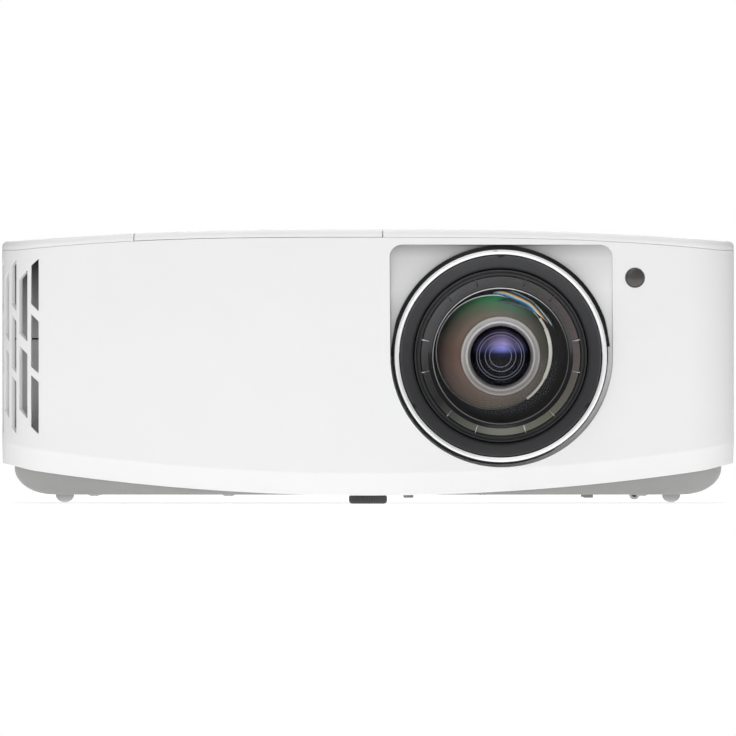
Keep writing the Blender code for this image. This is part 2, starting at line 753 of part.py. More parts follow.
def make_keys():
    """Round keys, each with a flange that stays under the cover."""
    for name, x, y, radius in KEYS:
        flange = radius + KEY_FLANGE
        bottom = KEY_PROUD - KEY_HEIGHT
        turned(name, (
            (0, KEY_PROUD), (radius - 0.0006, KEY_PROUD), (radius, 0), (radius, bottom + KEY_FLANGE),
            (flange, bottom + KEY_FLANGE), (flange, bottom), (0, bottom),
        ), (x, y, crown_height(x)), slot="key_white", steps=14, closed=False)
    box("keypad_board", (0.054, 0.042, KEY_BOARD_TOP - BOARD_THICK), (0.128, 0.082, KEY_BOARD_TOP),
        "circuit_board")


def make_feet():
    """A stud and a pad for each foot; the pad turns on the stud."""
    for name, x, y, radius, stud_radius in FEET:
        bore = stud_radius + GAP
        stud_bottom = PAD_FLOOR + GAP
        cylinder(f"{name}_stud", stud_radius, STUD_TOP - stud_bottom, (x, y, (STUD_TOP + stud_bottom) / 2),
                 slot="satin_metal", steps=16)
        slot = "rubber" if name == "front_foot" else "light_grey"
        if name == "front_foot":
            side = [(radius, FOOT_TOP), (radius, 0.0012), (radius - 0.0004, 0.0005), (radius - 0.0014, 0)]
        else:
            side = [(radius, FOOT_TOP), (radius * 0.95, 0.0024), (radius * 0.80, 0.0013),
                    (radius * 0.60, 0.0004), (radius * 0.38, 0)]
        turned(f"{name}_pad", [(0, PAD_FLOOR), (bore, PAD_FLOOR), (bore, FOOT_TOP)] + side + [(0, 0)],
               (x, y, 0), slot=slot, steps=20, closed=False)


def wire(name, points, radius, slot):
    """A round wire along straight runs, as one closed mesh."""
    curve = bpy.data.curves.new(name, "CURVE")
    curve.dimensions = "3D"
    curve.bevel_depth = radius
    curve.bevel_resolution = 2
    curve.use_fill_caps = True
    spline = curve.splines.new("POLY")
    spline.points.add(len(points) - 1)
    for target, point in zip(spline.points, points):
        target.co = (*point, 1.0)
    guide = bpy.data.objects.new(f"{name}_curve", curve)
    PARTS.objects.link(guide)
    bpy.context.view_layer.update()
    evaluated = guide.evaluated_get(bpy.context.evaluated_depsgraph_get())
    mesh = bpy.data.meshes.new_from_object(evaluated)
    bm = bmesh.new()
    bm.from_mesh(mesh)
    bmesh.ops.remove_doubles(bm, verts=bm.verts, dist=MERGE)
    bpy.data.objects.remove(guide, do_unlink=True)
    obj = add_object(name, bm, slot)
    smooth(obj)
    return obj


def rounded_path(corners, radius, steps=4):
    """Corner points replaced by short bends in the plane of their two runs."""
    points = [Vector(corners[0])]
    for before, corner, after in zip(corners, corners[1:], corners[2:]):
        corner = Vector(corner)
        start = corner + (Vector(before) - corner).normalized() * radius
        end = corner + (Vector(after) - corner).normalized() * radius
        for i in range(steps + 1):
            t = i / steps
            points.append(start * (1 - t) ** 2 + corner * 2 * t * (1 - t) + end * t ** 2)
    return points + [Vector(corners[-1])]


def make_security_bar():
    """A staple that dips below the base, with a gap for a cable above it."""
    foot_z = BASE_BOTTOM + BASE_WALL + SECURITY_WIRE + GAP
    corners = [(SECURITY_X + dx, SECURITY_Y, z) for dx, z in (
        (-0.0085, foot_z), (-0.0032, foot_z), (-0.0032, SECURITY_BOTTOM),
        (0.0032, SECURITY_BOTTOM), (0.0032, foot_z), (0.0085, foot_z),
    )]
    wire("security_bar", rounded_path(corners, 0.0012, 3), SECURITY_WIRE, "satin_metal")


# ---------------------------------------------------------------- fans

def fan_blocks(pieces):
    """Several boxes in one cutter, each a (size, matrix) about the fan's own axis."""
    bm = bmesh.new()
    for size, matrix in pieces:
        bmesh.ops.create_cube(bm, size=1.0, matrix=matrix @ Matrix.Diagonal((*size, 1.0)))
    return bm


def make_fan(name, x, y):
    """Square frame with a motor carrier on three struts, and a rotor with pitched blades."""
    place = (x, y, FAN_Z)
    half = FAN_DEPTH / 2
    strut = 0.0026
    carrier_z = -half + strut / 2
    frame = box(f"{name}_frame", (x - half, y - FAN_SIZE / 2, FAN_Z - FAN_SIZE / 2),
                (x + half, y + FAN_SIZE / 2, FAN_Z + FAN_SIZE / 2), "black_plastic", bevel=0.003)
    boolean(frame, cylinder(f"{name}_bore", FAN_BORE, 0.04, place, AIM_RIGHT, steps=36, cutter=True))
    arms = []
    for i in range(3):
        turn = Matrix.Rotation(math.tau * i / 3, 4, "Z")
        reach = Matrix.Translation((FAN_BORE / 2 + 0.001, 0, carrier_z))
        arms.append(((FAN_BORE + 0.002, 0.004, strut), turn @ reach))
    struts = add_object(f"{name}_struts", fan_blocks(arms), None, place, AIM_RIGHT, cutter=True)
    carrier = cylinder(f"{name}_carrier", FAN_HUB, strut, (x + carrier_z, y, FAN_Z), AIM_RIGHT,
                       steps=24, cutter=True)
    boolean(carrier, struts, "UNION")
    boolean(frame, carrier, "UNION")
    rotor = turned(f"{name}_rotor", (
        (0, 0.0100), (FAN_HUB - 0.002, 0.0100), (FAN_HUB, 0.0080), (FAN_HUB, -0.0090), (0, -0.0090),
    ), place, AIM_RIGHT, "matte_black", 28, closed=False)
    blade_length = FAN_BLADE_TIP - FAN_HUB + 0.003
    for i in range(FAN_BLADES):
        turn = Matrix.Rotation(math.tau * i / FAN_BLADES, 4, "Z")
        reach = Matrix.Translation((FAN_BLADE_TIP - blade_length / 2, 0, 0))
        pitch = Matrix.Rotation(math.radians(38), 4, "X")
        blade = add_object(f"{name}_blade_{i}", fan_blocks([
            ((blade_length, 0.0180, 0.0014), turn @ reach @ pitch),
        ]), None, place, AIM_RIGHT, cutter=True)
        boolean(rotor, blade, "UNION")


# ---------------------------------------------------------------- light source and optical engine

def make_light_source():
    housing = box("lamp_housing", (-0.072, -0.108, 0.012), (-0.012, -0.048, 0.100), "matte_black")
    boolean(housing, box("lamp_space", (-0.0695, -0.1055, 0.0145), (-0.0145, 0, 0.0975), cutter=True))
    turned("lamp_reflector", (
        (0.0260, 0), (0.0245, -0.008), (0.0200, -0.018), (0.0130, -0.028), (0.0080, -0.034),
        (0.0065, -0.034), (0.0115, -0.028), (0.0183, -0.018), (0.0228, -0.008), (0.0244, 0),
    ), (LAMP_X, -0.052, LAMP_Z), AIM_REAR, "mirror_coat", 24)
    cylinder("lamp_burner", 0.0045, 0.034, (LAMP_X, -0.079, LAMP_Z), AIM_REAR, "lens_glass", 20)
    handle_z = 0.1003
    handle = [(LAMP_X + dx, -0.078, z) for dx, z in (
        (-0.018, handle_z), (-0.018, 0.107), (0.018, 0.107), (0.018, handle_z),
    )]
    wire("lamp_handle", rounded_path(handle, 0.003), 0.0015, "satin_metal")


def make_colour_wheel():
    half = WHEEL_THICK / 2
    turned("colour_wheel", (
        (0, 0.0025), (0.008, 0.0025), (0.008, half), (WHEEL_RADIUS, half), (WHEEL_RADIUS, -half),
        (0.008, -half), (0.008, -0.0020), (0, -0.0020),
    ), (WHEEL_X, WHEEL_Y, WHEEL_Z), AIM_REAR, "wheel_glass", 32, closed=False)
    motor = cylinder("wheel_motor", 0.009, 0.0132, (WHEEL_X, -0.0206, WHEEL_Z), AIM_REAR, "satin_metal", 28)
    bracket = box("motor_bracket", (WHEEL_X - 0.008, -0.0185, 0.0065),
                  (WHEEL_X + 0.008, -0.0155, WHEEL_Z), cutter=True)
    boolean(motor, bracket, "UNION")
    tunnel = box("light_tunnel", (-0.047, -0.010, 0.055), (-0.037, 0.0305, 0.065), "mirror_coat")
    boolean(tunnel, box("tunnel_space", (-0.0455, -0.02, 0.0565), (-0.0385, 0.05, 0.0635), cutter=True))


def make_optical_engine():
    engine = box("optical_engine", (0.018, -0.014, 0.030), (0.096, 0.062, 0.097), "satin_metal")
    boolean(engine, box("fold_arm", (-0.056, 0.031, 0.042), (0.020, 0.0600, 0.080), cutter=True), "UNION")
    boolean(engine, box("engine_space", (0.021, -0.011, 0.020), (0.093, 0.059, 0.094), cutter=True))
    box("chip_board", (0.025, 0.064, 0.028), (0.090, 0.0656, 0.098), "circuit_board")
    left, right, base_y, fin_y, tip_y = 0.036, 0.080, 0.0660, 0.0690, 0.0860
    fins, fin = 8, 0.0016
    pitch = (right - left - fin) / (fins - 1)
    comb = [(left, base_y), (right, base_y)]
    for i in reversed(range(fins)):
        x = left + i * pitch
        comb += [(x + fin, tip_y), (x, tip_y)]
        if i:
            comb += [(x, fin_y), (x - pitch + fin, fin_y)]
    extruded("heatsink", comb, 0.038, 0.088, "satin_metal")


# ---------------------------------------------------------------- electronics

def make_connectors():
    for name, x, z, width, height, socket_width, socket_height, depth in PORTS:
        shell = box(name, (x - width / 2, PORT_FRONT, z - height / 2),
                    (x + width / 2, PORT_REAR, z + height / 2), "satin_metal")
        half_x, half_z = socket_width / 2, socket_height / 2
        boolean(shell, box(f"{name}_socket", (x - half_x, PORT_REAR - depth, z - half_z),
                           (x + half_x, REAR_Y + 0.01, z + half_z), cutter=True))
    block = box("audio_jack_block", (min(JACK_X) - JACK_HALF, PORT_FRONT, JACK_Z - JACK_HALF),
                (max(JACK_X) + JACK_HALF, PORT_REAR, JACK_Z + JACK_HALF), "black_plastic")
    for i, x in enumerate(JACK_X):
        bore = cylinder(f"jack_bore_{i}", JACK_BORE, JACK_DEPTH * 2, (x, PORT_REAR, JACK_Z), AIM_REAR,
                        steps=16, cutter=True)
        boolean(block, bore)
    inlet = box("mains_inlet", (INLET_X - INLET_WIDTH / 2, 0.106, INLET_Z - INLET_HEIGHT / 2),
                (INLET_X + INLET_WIDTH / 2, PORT_REAR, INLET_Z + INLET_HEIGHT / 2), "black_plastic")
    floor_y = PORT_REAR - INLET_CAVITY_DEPTH
    half_x, half_z = INLET_CAVITY_WIDTH / 2, INLET_CAVITY_HEIGHT / 2
    boolean(inlet, box("inlet_cavity", (INLET_X - half_x, floor_y, INLET_Z - half_z),
                       (INLET_X + half_x, 0.15, INLET_Z + half_z), cutter=True))
    for i, (dx, dz) in enumerate(((-0.007, -0.002), (0.007, -0.002), (0, 0.002))):
        x, z = INLET_X + dx, INLET_Z + dz
        pin = box(f"inlet_pin_{i}", (x - 0.001, floor_y - 0.002, z - 0.002),
                  (x + 0.001, PORT_REAR - 0.005, z + 0.002), cutter=True)
        boolean(inlet, pin, "UNION")


def make_electronics():
    box("main_board", (-0.062, BOARD_Y, 0.018), (0.112, BOARD_Y + BOARD_THICK, 0.104), "circuit_board")
    box("power_board", (-0.144, 0.008, 0.0140), (-0.080, 0.096, 0.0156), "circuit_board")
    box("power_transformer", (-0.132, 0.030, 0.0159), (-0.100, 0.062, 0.046), "matte_black", bevel=0.002)
    box("lamp_ballast", (-0.118, -0.104, 0.010), (-0.080, -0.010, 0.060), "matte_black", bevel=0.002)
    speaker = box("speaker", (0.114, -0.066, 0.016), (0.147, -0.008, 0.092), "black_plastic", bevel=0.002)
    bm = bmesh.new()
    bmesh.ops.create_cone(bm, cap_ends=True, segments=28, radius1=0.010, radius2=0.024, depth=0.020)
    boolean(speaker, add_object("speaker_cone", bm, None, (0.1420, -0.037, 0.054), AIM_RIGHT, cutter=True))


make_main_shell()
make_top_cover()
make_lamp_cover()
make_base_tray()
make_lens_bezel()
make_rear_panel()
make_lens()
make_keys()
make_feet()
make_security_bar()
make_fan("intake_fan", INTAKE_X, INTAKE_Y)
make_fan("exhaust_fan", EXHAUST_X, EXHAUST_Y)
make_light_source()
make_colour_wheel()
make_optical_engine()
make_connectors()
make_electronics()
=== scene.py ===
"""Looks of the home projector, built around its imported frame.

Metres, +Z up. The lens looks along -Y and +X is to the right of somebody who faces the lens.
"""

import math

import bmesh
import bpy
from mathutils import Matrix, Vector


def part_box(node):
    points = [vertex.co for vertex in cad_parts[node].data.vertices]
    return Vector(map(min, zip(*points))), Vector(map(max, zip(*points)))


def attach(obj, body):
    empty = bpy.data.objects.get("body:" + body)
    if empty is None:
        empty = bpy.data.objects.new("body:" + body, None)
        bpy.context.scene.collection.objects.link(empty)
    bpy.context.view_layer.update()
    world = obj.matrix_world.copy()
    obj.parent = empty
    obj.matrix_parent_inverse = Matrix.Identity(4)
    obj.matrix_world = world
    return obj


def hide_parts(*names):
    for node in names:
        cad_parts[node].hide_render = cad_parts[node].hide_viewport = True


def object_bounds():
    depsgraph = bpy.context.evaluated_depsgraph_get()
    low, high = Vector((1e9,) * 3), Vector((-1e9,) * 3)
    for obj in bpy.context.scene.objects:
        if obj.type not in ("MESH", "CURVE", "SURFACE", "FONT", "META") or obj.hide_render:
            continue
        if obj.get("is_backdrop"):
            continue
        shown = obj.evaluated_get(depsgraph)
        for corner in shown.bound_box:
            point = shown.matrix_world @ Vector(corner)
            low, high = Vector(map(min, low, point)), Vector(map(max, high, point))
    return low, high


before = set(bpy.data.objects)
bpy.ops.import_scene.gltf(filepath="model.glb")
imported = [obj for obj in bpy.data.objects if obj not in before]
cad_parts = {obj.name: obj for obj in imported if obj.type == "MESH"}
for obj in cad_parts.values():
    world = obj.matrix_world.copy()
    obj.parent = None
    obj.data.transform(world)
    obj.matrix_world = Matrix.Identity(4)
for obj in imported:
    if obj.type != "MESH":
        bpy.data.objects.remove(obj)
bpy.context.view_layer.update()
CAD_LOW, CAD_HIGH = (Vector(corner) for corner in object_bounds())
MM = 0.001
WELD = 0.002 * MM


def mm(*points):
    """Points in millimetres as a list of points in metres."""
    return [tuple(value * MM for value in point) for point in points]


# ---------------------------------------------------------------- sizes taken from the frame

def middle(node):
    """Middle of a CAD node's box."""
    low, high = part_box(node)
    return (Vector(low) + Vector(high)) / 2


HALF_X = CAD_HIGH.x
FRONT_Y, REAR_Y = CAD_LOW.y, CAD_HIGH.y
HEIGHT = CAD_HIGH.z
LENS = middle("chrome_trim_ring")
LENS_X, LENS_Z = LENS.x, LENS.z
IR_WINDOW = middle("ir_window")
TRAY_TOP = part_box("base_tray")[1][2]
PANEL_LOW, PANEL_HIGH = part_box("rear_panel")
LID_LOW, LID_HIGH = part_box("lamp_cover")

# The body's outline and edge lines, as the frame has them
WALL = 2.2 * MM
FRONT_ARC = 620 * MM
FRONT_CORNER = 26 * MM
REAR_CORNER = 14 * MM
EDGE_HALF_SPAN = 151 * MM
CROWN_DROP = 5.0 * MM
TOP_LINE = 114.4 * MM
TOP_LINE_DROP = 5.4 * MM
SHELL_BOTTOM = 3.6 * MM
SHELL_BOTTOM_RISE = 11.6 * MM
END_RISE_START = 144 * MM
END_RISE = 2.2 * MM
CREASE_HEIGHT = 9.5 * MM
CREASE_TUCK = 2.2 * MM
CROWN_ROUND = 2.6 * MM
LIP_INSET = 5.1 * MM

ARC_CENTRE_Y = FRONT_Y + FRONT_ARC
CORNER_X = HALF_X - FRONT_CORNER
CORNER_Y = ARC_CENTRE_Y - math.sqrt((FRONT_ARC - FRONT_CORNER) ** 2 - CORNER_X ** 2)
MEET = math.atan2(CORNER_X, ARC_CENTRE_Y - CORNER_Y)
REAR_CENTRE_X, REAR_CENTRE_Y = HALF_X - REAR_CORNER, REAR_Y - REAR_CORNER
ARC_END = FRONT_ARC * MEET
CORNER_END = ARC_END + FRONT_CORNER * (math.pi / 2 - MEET)
SIDE_END = CORNER_END + REAR_CENTRE_Y - CORNER_Y
REAR_CORNER_END = SIDE_END + REAR_CORNER * math.pi / 2
HALF_LENGTH = REAR_CORNER_END + REAR_CENTRE_X


def span(x):
    """Distance from the middle, from 0 to 1 at the ends of the front edges."""
    return min(abs(x) / EDGE_HALF_SPAN, 1.0)


def crown_height(x):
    """Height of the top surface at some X."""
    return HEIGHT - CROWN_DROP * span(x) ** 2.5


def top_line_height(x):
    """Height of the parting line between wall and cover at some X."""
    return TOP_LINE - TOP_LINE_DROP * span(x) ** 3


def shell_bottom_height(x):
    """Height of the wall's lower edge at some X."""
    end = max(abs(x) - END_RISE_START, 0) / (HALF_X - END_RISE_START)
    return SHELL_BOTTOM + SHELL_BOTTOM_RISE * span(x) ** 2 + END_RISE * end ** 2


def outline_place(distance):
    """Point and outward direction on the outline, at a signed distance from the front middle."""
    d, side = abs(distance), math.copysign(1, distance)
    if d <= ARC_END:
        angle = d / FRONT_ARC
        normal = Vector((math.sin(angle), -math.cos(angle)))
        point = Vector((0, ARC_CENTRE_Y)) + normal * FRONT_ARC
    elif d <= CORNER_END:
        angle = MEET + (d - ARC_END) / FRONT_CORNER
        normal = Vector((math.sin(angle), -math.cos(angle)))
        point = Vector((CORNER_X, CORNER_Y)) + normal * FRONT_CORNER
    elif d <= SIDE_END:
        normal = Vector((1, 0))
        point = Vector((HALF_X, CORNER_Y + d - CORNER_END))
    elif d <= REAR_CORNER_END:
        angle = (d - SIDE_END) / REAR_CORNER
        normal = Vector((math.cos(angle), math.sin(angle)))
        point = Vector((REAR_CENTRE_X, REAR_CENTRE_Y)) + normal * REAR_CORNER
    else:
        normal = Vector((0, 1))
        point = Vector((REAR_CENTRE_X - (d - REAR_CORNER_END), REAR_Y))
    return Vector((side * point.x, point.y)), Vector((side * normal.x, normal.y))


def outline_direction(x, y):
    """Outward direction for a point near the outline."""
    side = math.copysign(1, x)
    ax = abs(x)
    if y > REAR_CENTRE_Y and ax > REAR_CENTRE_X:
        normal = Vector((ax - REAR_CENTRE_X, y - REAR_CENTRE_Y))
    elif y > REAR_CENTRE_Y:
        normal = Vector((0, 1))
    elif y < CORNER_Y and ax > CORNER_X and math.atan2(ax - CORNER_X, CORNER_Y - y) > MEET:
        normal = Vector((ax - CORNER_X, y - CORNER_Y))
    elif y < CORNER_Y:
        normal = Vector((ax, y - ARC_CENTRE_Y))
    else:
        normal = Vector((1, 0))
    normal.normalize()
    return Vector((side * normal.x, normal.y))


def front_distance(x):
    """Distance along the front arc to some X."""
    return FRONT_ARC * math.asin(x / FRONT_ARC)


def front_y(x):
    """Y of the front surface at some X."""
    return ARC_CENTRE_Y - math.sqrt(FRONT_ARC ** 2 - x ** 2)


def outline_stations(step, corner_step):
    """Distances along the right half of the outline, closer together round the corners."""
    stops = [(0, ARC_END, step), (ARC_END, CORNER_END, corner_step), (CORNER_END, SIDE_END, step),
             (SIDE_END, REAR_CORNER_END, corner_step), (REAR_CORNER_END, HALF_LENGTH, step)]
    stations = []
    for start, end, size in stops:
        count = max(1, round((end - start) / size))
        stations += [start + (end - start) * i / count for i in range(count)]
    return stations


def ring_points(inset, step=8 * MM, corner_step=1.6 * MM):
    """The closed outline at an inset, counter-clockwise from above, from the front middle."""
    right = outline_stations(step, corner_step)
    distances = right + [HALF_LENGTH] + [-d for d in reversed(right[1:])]
    points = []
    for d in distances:
        point, normal = outline_place(d)
        points.append(point - normal * inset)
    return points


# ---------------------------------------------------------------- materials

def link(tree, source, output, target, socket):
    """Joins one node's output to another node's input."""
    tree.links.new(source.outputs[output], target.inputs[socket])


def noise(tree, coords, scale, detail):
    """Noise in object space."""
    node = tree.nodes.new("ShaderNodeTexNoise")
    node.inputs["Scale"].default_value = scale
    node.inputs["Detail"].default_value = detail
    link(tree, coords, "Object", node, "Vector")
    return node


def ramp(tree, source, output, stops):
    """A colour ramp from (place, colour) stops."""
    node = tree.nodes.new("ShaderNodeValToRGB")
    elements = node.color_ramp.elements
    while len(elements) < len(stops):
        elements.new(0.5)
    for element, (place, colour) in zip(elements, stops):
        element.position = place
        element.color = (*colour, 1.0)
    link(tree, source, output, node, "Fac")
    return node


def shaded(colour, factor):
    """A colour made lighter or darker."""
    return tuple(min(c * factor, 1.0) for c in colour)


def new_material(name):
    """A material with its tree, its Principled BSDF and its coordinates."""
    material = bpy.data.materials.new(name)
    material.use_nodes = True
    tree = material.node_tree
    shader = tree.nodes["Principled BSDF"]
    coords = tree.nodes.new("ShaderNodeTexCoord")
    return material, tree, shader, coords


def ranged(tree, source, output, low, high):
    """Maps a value from 0 to 1 so that it runs from low to high."""
    node = tree.nodes.new("ShaderNodeMapRange")
    node.inputs["To Min"].default_value = low
    node.inputs["To Max"].default_value = high
    link(tree, source, output, node, "Value")
    return node


def scaled(tree, source, output, low, high):
    """Maps a value so that low becomes 0 and high becomes 1."""
    node = tree.nodes.new("ShaderNodeMapRange")
    node.inputs["From Min"].default_value = low
    node.inputs["From Max"].default_value = high
    link(tree, source, output, node, "Value")
    return node


def blended(tree, first, second, factor, mode="MIX"):
    """Two colours mixed; each of them, and the factor, is a (node, output) pair."""
    node = tree.nodes.new("ShaderNodeMix")
    node.data_type = "RGBA"
    node.blend_type = mode
    tree.links.new(factor[0].outputs[factor[1]], node.inputs[0])
    tree.links.new(first[0].outputs[first[1]], node.inputs[6])
    tree.links.new(second[0].outputs[second[1]], node.inputs[7])
    return node


def uneven_gloss(tree, coords, shader, scale, low, high, detail=2):
    """Roughness that follows noise; low and high are the noise levels for 0 and 1."""
    uneven = scaled(tree, noise(tree, coords, scale, detail), "Fac", low, high)
    link(tree, uneven, "Result", shader, "Roughness")


def bumped(tree, source, shader, strength):
    """Fine relief from a noise node."""
    relief = tree.nodes.new("ShaderNodeBump")
    relief.inputs["Strength"].default_value = strength
    relief.inputs["Distance"].default_value = 0.05 * MM
    link(tree, source, "Fac", relief, "Height")
    link(tree, relief, "Normal", shader, "Normal")


def surface(name, colour, roughness, metallic=0.0, grain=2600, bump=0.12, mottle=0.02, coat=0.0,
            specular=0.5, rough_spread=0.06):
    """A moulded or machined surface: fine grain, faint mottling and uneven gloss."""
    material, tree, shader, coords = new_material(name)
    broad = noise(tree, coords, 38, 4)
    tone = ramp(tree, broad, "Fac", [(0.3, shaded(colour, 1 - mottle)), (0.7, shaded(colour, 1 + mottle))])
    link(tree, tone, "Color", shader, "Base Color")
    fine = noise(tree, coords, grain, 2)
    rough_low, rough_high = max(roughness - rough_spread, 0.02), min(roughness + rough_spread, 1.0)
    gloss = ranged(tree, fine, "Fac", rough_low, rough_high)
    link(tree, gloss, "Result", shader, "Roughness")
    bumped(tree, fine, shader, bump)
    shader.inputs["Metallic"].default_value = metallic
    shader.inputs["Coat Weight"].default_value = coat
    shader.inputs["Specular IOR Level"].default_value = specular
    return material


WHITE = surface("white_shell", (0.86, 0.86, 0.862), 0.42, bump=0.10, mottle=0.008, specular=0.35)
BASE_GREY = surface("base_grey", (0.33, 0.33, 0.325), 0.55, grain=1500, bump=0.25, mottle=0.04)
PANEL_GREY = surface("panel_grey", (0.50, 0.50, 0.50), 0.48, grain=1700, bump=0.2, mottle=0.03)
FOOT_GREY = surface("foot_grey", (0.52, 0.52, 0.52), 0.45, mottle=0.03)
RUBBER = surface("rubber", (0.11, 0.11, 0.11), 0.75, grain=1400, bump=0.35, mottle=0.12)
BLACK_GLOSS = surface("black_gloss", (0.010, 0.010, 0.011), 0.24, grain=300, bump=0.004, mottle=0.15,
                      coat=0.2, rough_spread=0.02)
BLACK_SATIN = surface("black_satin", (0.022, 0.022, 0.023), 0.38, bump=0.08, mottle=0.15)
CONE_GREY = surface("cone_grey", (0.055, 0.055, 0.058), 0.62, grain=2200, bump=0.25, mottle=0.08)
INNER_DARK = surface("inner_dark", (0.045, 0.045, 0.047), 0.6, grain=1200, bump=0.3, mottle=0.2)
CHROME = surface("chrome", (0.97, 0.97, 0.972), 0.30, metallic=0.45, grain=900, bump=0.01, mottle=0.01,
                 rough_spread=0.03)
STEEL = surface("satin_metal", (0.58, 0.58, 0.59), 0.32, metallic=1.0, grain=1500, bump=0.06, mottle=0.06)
GOLD = surface("contact_gold", (0.80, 0.60, 0.28), 0.28, metallic=1.0, grain=1500, bump=0.04, mottle=0.06)
BOARD_GREEN = surface("circuit_board", (0.03, 0.17, 0.07), 0.45, grain=700, bump=0.2, mottle=0.25)
MIRROR = surface("mirror_coat", (0.88, 0.89, 0.92), 0.06, metallic=1.0, bump=0.01, mottle=0.02,
                 rough_spread=0.02)
IR_DARK = surface("ir_window", (0.062, 0.059, 0.056), 0.30, bump=0.03, mottle=0.1, coat=0.3)
KEY_WHITE = surface("key_white", (0.74, 0.74, 0.745), 0.40, bump=0.08, mottle=0.01)
PRINT_GREY = surface("print_grey", (0.20, 0.20, 0.21), 0.55, bump=0.05, mottle=0.05)
# Pale material for the painted highlight crescent inside the lens
PAINTED_HIGHLIGHT_PEARL = surface("pearl_painted_highlight", (0.70, 0.70, 0.62), 0.35, metallic=0.2, grain=300, bump=0.05, mottle=0.25)
SHADE_BLACK = surface("shade_black", (0.012, 0.012, 0.013), 0.45, grain=40, bump=0.01, mottle=0.1,
                      specular=0.3)
# Painted reflection: light violet lines for the concentric reflections in the small element
VIOLET_RING_PAINTED_REFLECTION = surface("violet_ring_painted_reflection", (0.27, 0.26, 0.36), 0.35, metallic=0.2, grain=400, bump=0.02, mottle=0.2)
JACK_BLUE = surface("jack_blue", (0.05, 0.16, 0.38), 0.4)
JACK_GREEN = surface("jack_green", (0.07, 0.30, 0.12), 0.4)
JACK_PINK = surface("jack_pink", (0.55, 0.18, 0.25), 0.4)
INNER_GLASS = surface("inner_glass", (0.30, 0.36, 0.40), 0.08, mottle=0.1, coat=0.5)
STATUS_LIGHT = surface("status_light", (0.55, 0.62, 0.70), 0.2, coat=0.5)


# ---------------------------------------------------------------- mesh helpers

SHARP_ANGLE = math.radians(35)


def piece(name, mesh, material, replaces=(), body="chassis", slot=None):
    """A finished mesh as a piece that rides on a body and may stand for CAD nodes."""
    if not mesh.has_custom_normals:
        mesh.shade_smooth()
        mesh.set_sharp_from_angle(angle=SHARP_ANGLE)
        mesh = modified(mesh, ("WEIGHTED_NORMAL", {"keep_sharp": True, "weight": 80}))
    mesh.materials.clear()
    mesh.materials.append(material)
    obj = bpy.data.objects.new(name, mesh)
    bpy.context.scene.collection.objects.link(obj)
    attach(obj, body)
    if replaces:
        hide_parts(*replaces)
    return obj


def to_mesh(bm, name, matrix=None):
    """The bmesh as a closed mesh with its faces turned outwards."""
    bmesh.ops.remove_doubles(bm, verts=bm.verts, dist=WELD)
    if matrix is not None:
        bmesh.ops.transform(bm, matrix=matrix, verts=bm.verts)
    bmesh.ops.recalc_face_normals(bm, faces=bm.faces)
    mesh = bpy.data.meshes.new(name)
    bm.to_mesh(mesh)
    bm.free()
    return mesh


def applied(obj):
    """The mesh of an object after its modifiers; the object itself is removed."""
    depsgraph = bpy.context.evaluated_depsgraph_get()
    mesh = bpy.data.meshes.new_from_object(obj.evaluated_get(depsgraph))
    bpy.data.objects.remove(obj, do_unlink=True)
    return mesh


def modified(mesh, *modifiers):
    """The mesh after modifiers, each a (type, settings) pair."""
    obj = bpy.data.objects.new("work", mesh)
    bpy.context.scene.collection.objects.link(obj)
    for kind, settings in modifiers:
        modifier = obj.modifiers.new(kind.lower(), kind)
        for key, value in settings.items():
            setattr(modifier, key, value)
    bpy.context.view_layer.update()
    return applied(obj)


def cut(mesh, *cutters):
    """The mesh with other meshes cut out of it."""
    tools = []
    steps = []
    for i, cutter in enumerate(cutters):
        tool = bpy.data.objects.new(f"tool_{i}", cutter)
        bpy.context.scene.collection.objects.link(tool)
        tools.append(tool)
        steps.append(("BOOLEAN", {"object": tool, "operation": "DIFFERENCE", "solver": "EXACT"}))
    result = modified(mesh, *steps)
    for tool in tools:
        bpy.data.objects.remove(tool, do_unlink=True)
    return result


FRONTWARD = Matrix.Rotation(math.pi / 2, 4, "X")
REARWARD = Matrix.Rotation(-math.pi / 2, 4, "X")
UPWARD = Matrix.Identity(4)
DOWNWARD = Matrix.Rotation(math.pi, 4, "X")


def turned_mesh(profile, origin, aim=UPWARD, steps=96, closed=True):
    """A profile of (radius, height) points turned about the local Z axis."""
    bm = bmesh.new()
    rings = []
    for radius, height in profile:
        if radius < 1e-7:
            rings.append([bm.verts.new((0, 0, height))])
            continue
        angles = [math.tau * i / steps for i in range(steps)]
        rings.append([bm.verts.new((radius * math.cos(a), radius * math.sin(a), height)) for a in angles])
    pairs = list(zip(rings, rings[1:]))
    if closed:
        pairs.append((rings[-1], rings[0]))
    for low, high in pairs:
        for i in range(steps):
            j = (i + 1) % steps
            corners = [low[i % len(low)], low[j % len(low)], high[j % len(high)], high[i % len(high)]]
            corners = list(dict.fromkeys(corners))
            if len(corners) > 2:
                bm.faces.new(corners)
    return to_mesh(bm, "turned", Matrix.Translation(origin) @ aim)


def bend_point(start, corner, end, share):
    """A point part of the way round a bend."""
    return start * (1 - share) ** 2 + corner * 2 * share * (1 - share) + end * share ** 2


def rounded(profile, radius, steps=3):
    """A closed profile with each corner replaced by a short curve."""
    points = []
    count = len(profile)
    for i in range(count):
        before, corner, after = (Vector(profile[(i + d) % count]) for d in (-1, 0, 1))
        reach = min(radius, (before - corner).length * 0.45, (after - corner).length * 0.45)
        start = corner + (before - corner).normalized() * reach
        end = corner + (after - corner).normalized() * reach
        for k in range(steps + 1):
            points.append(tuple(bend_point(start, corner, end, k / steps)))
    return points


def arc_points(centre, radius, start, end, steps):
    """Points along an arc, angles in degrees."""
    points = []
    for i in range(steps + 1):
        angle = math.radians(start + (end - start) * i / steps)
        points.append((centre[0] + radius * math.cos(angle), centre[1] + radius * math.sin(angle)))
    return points


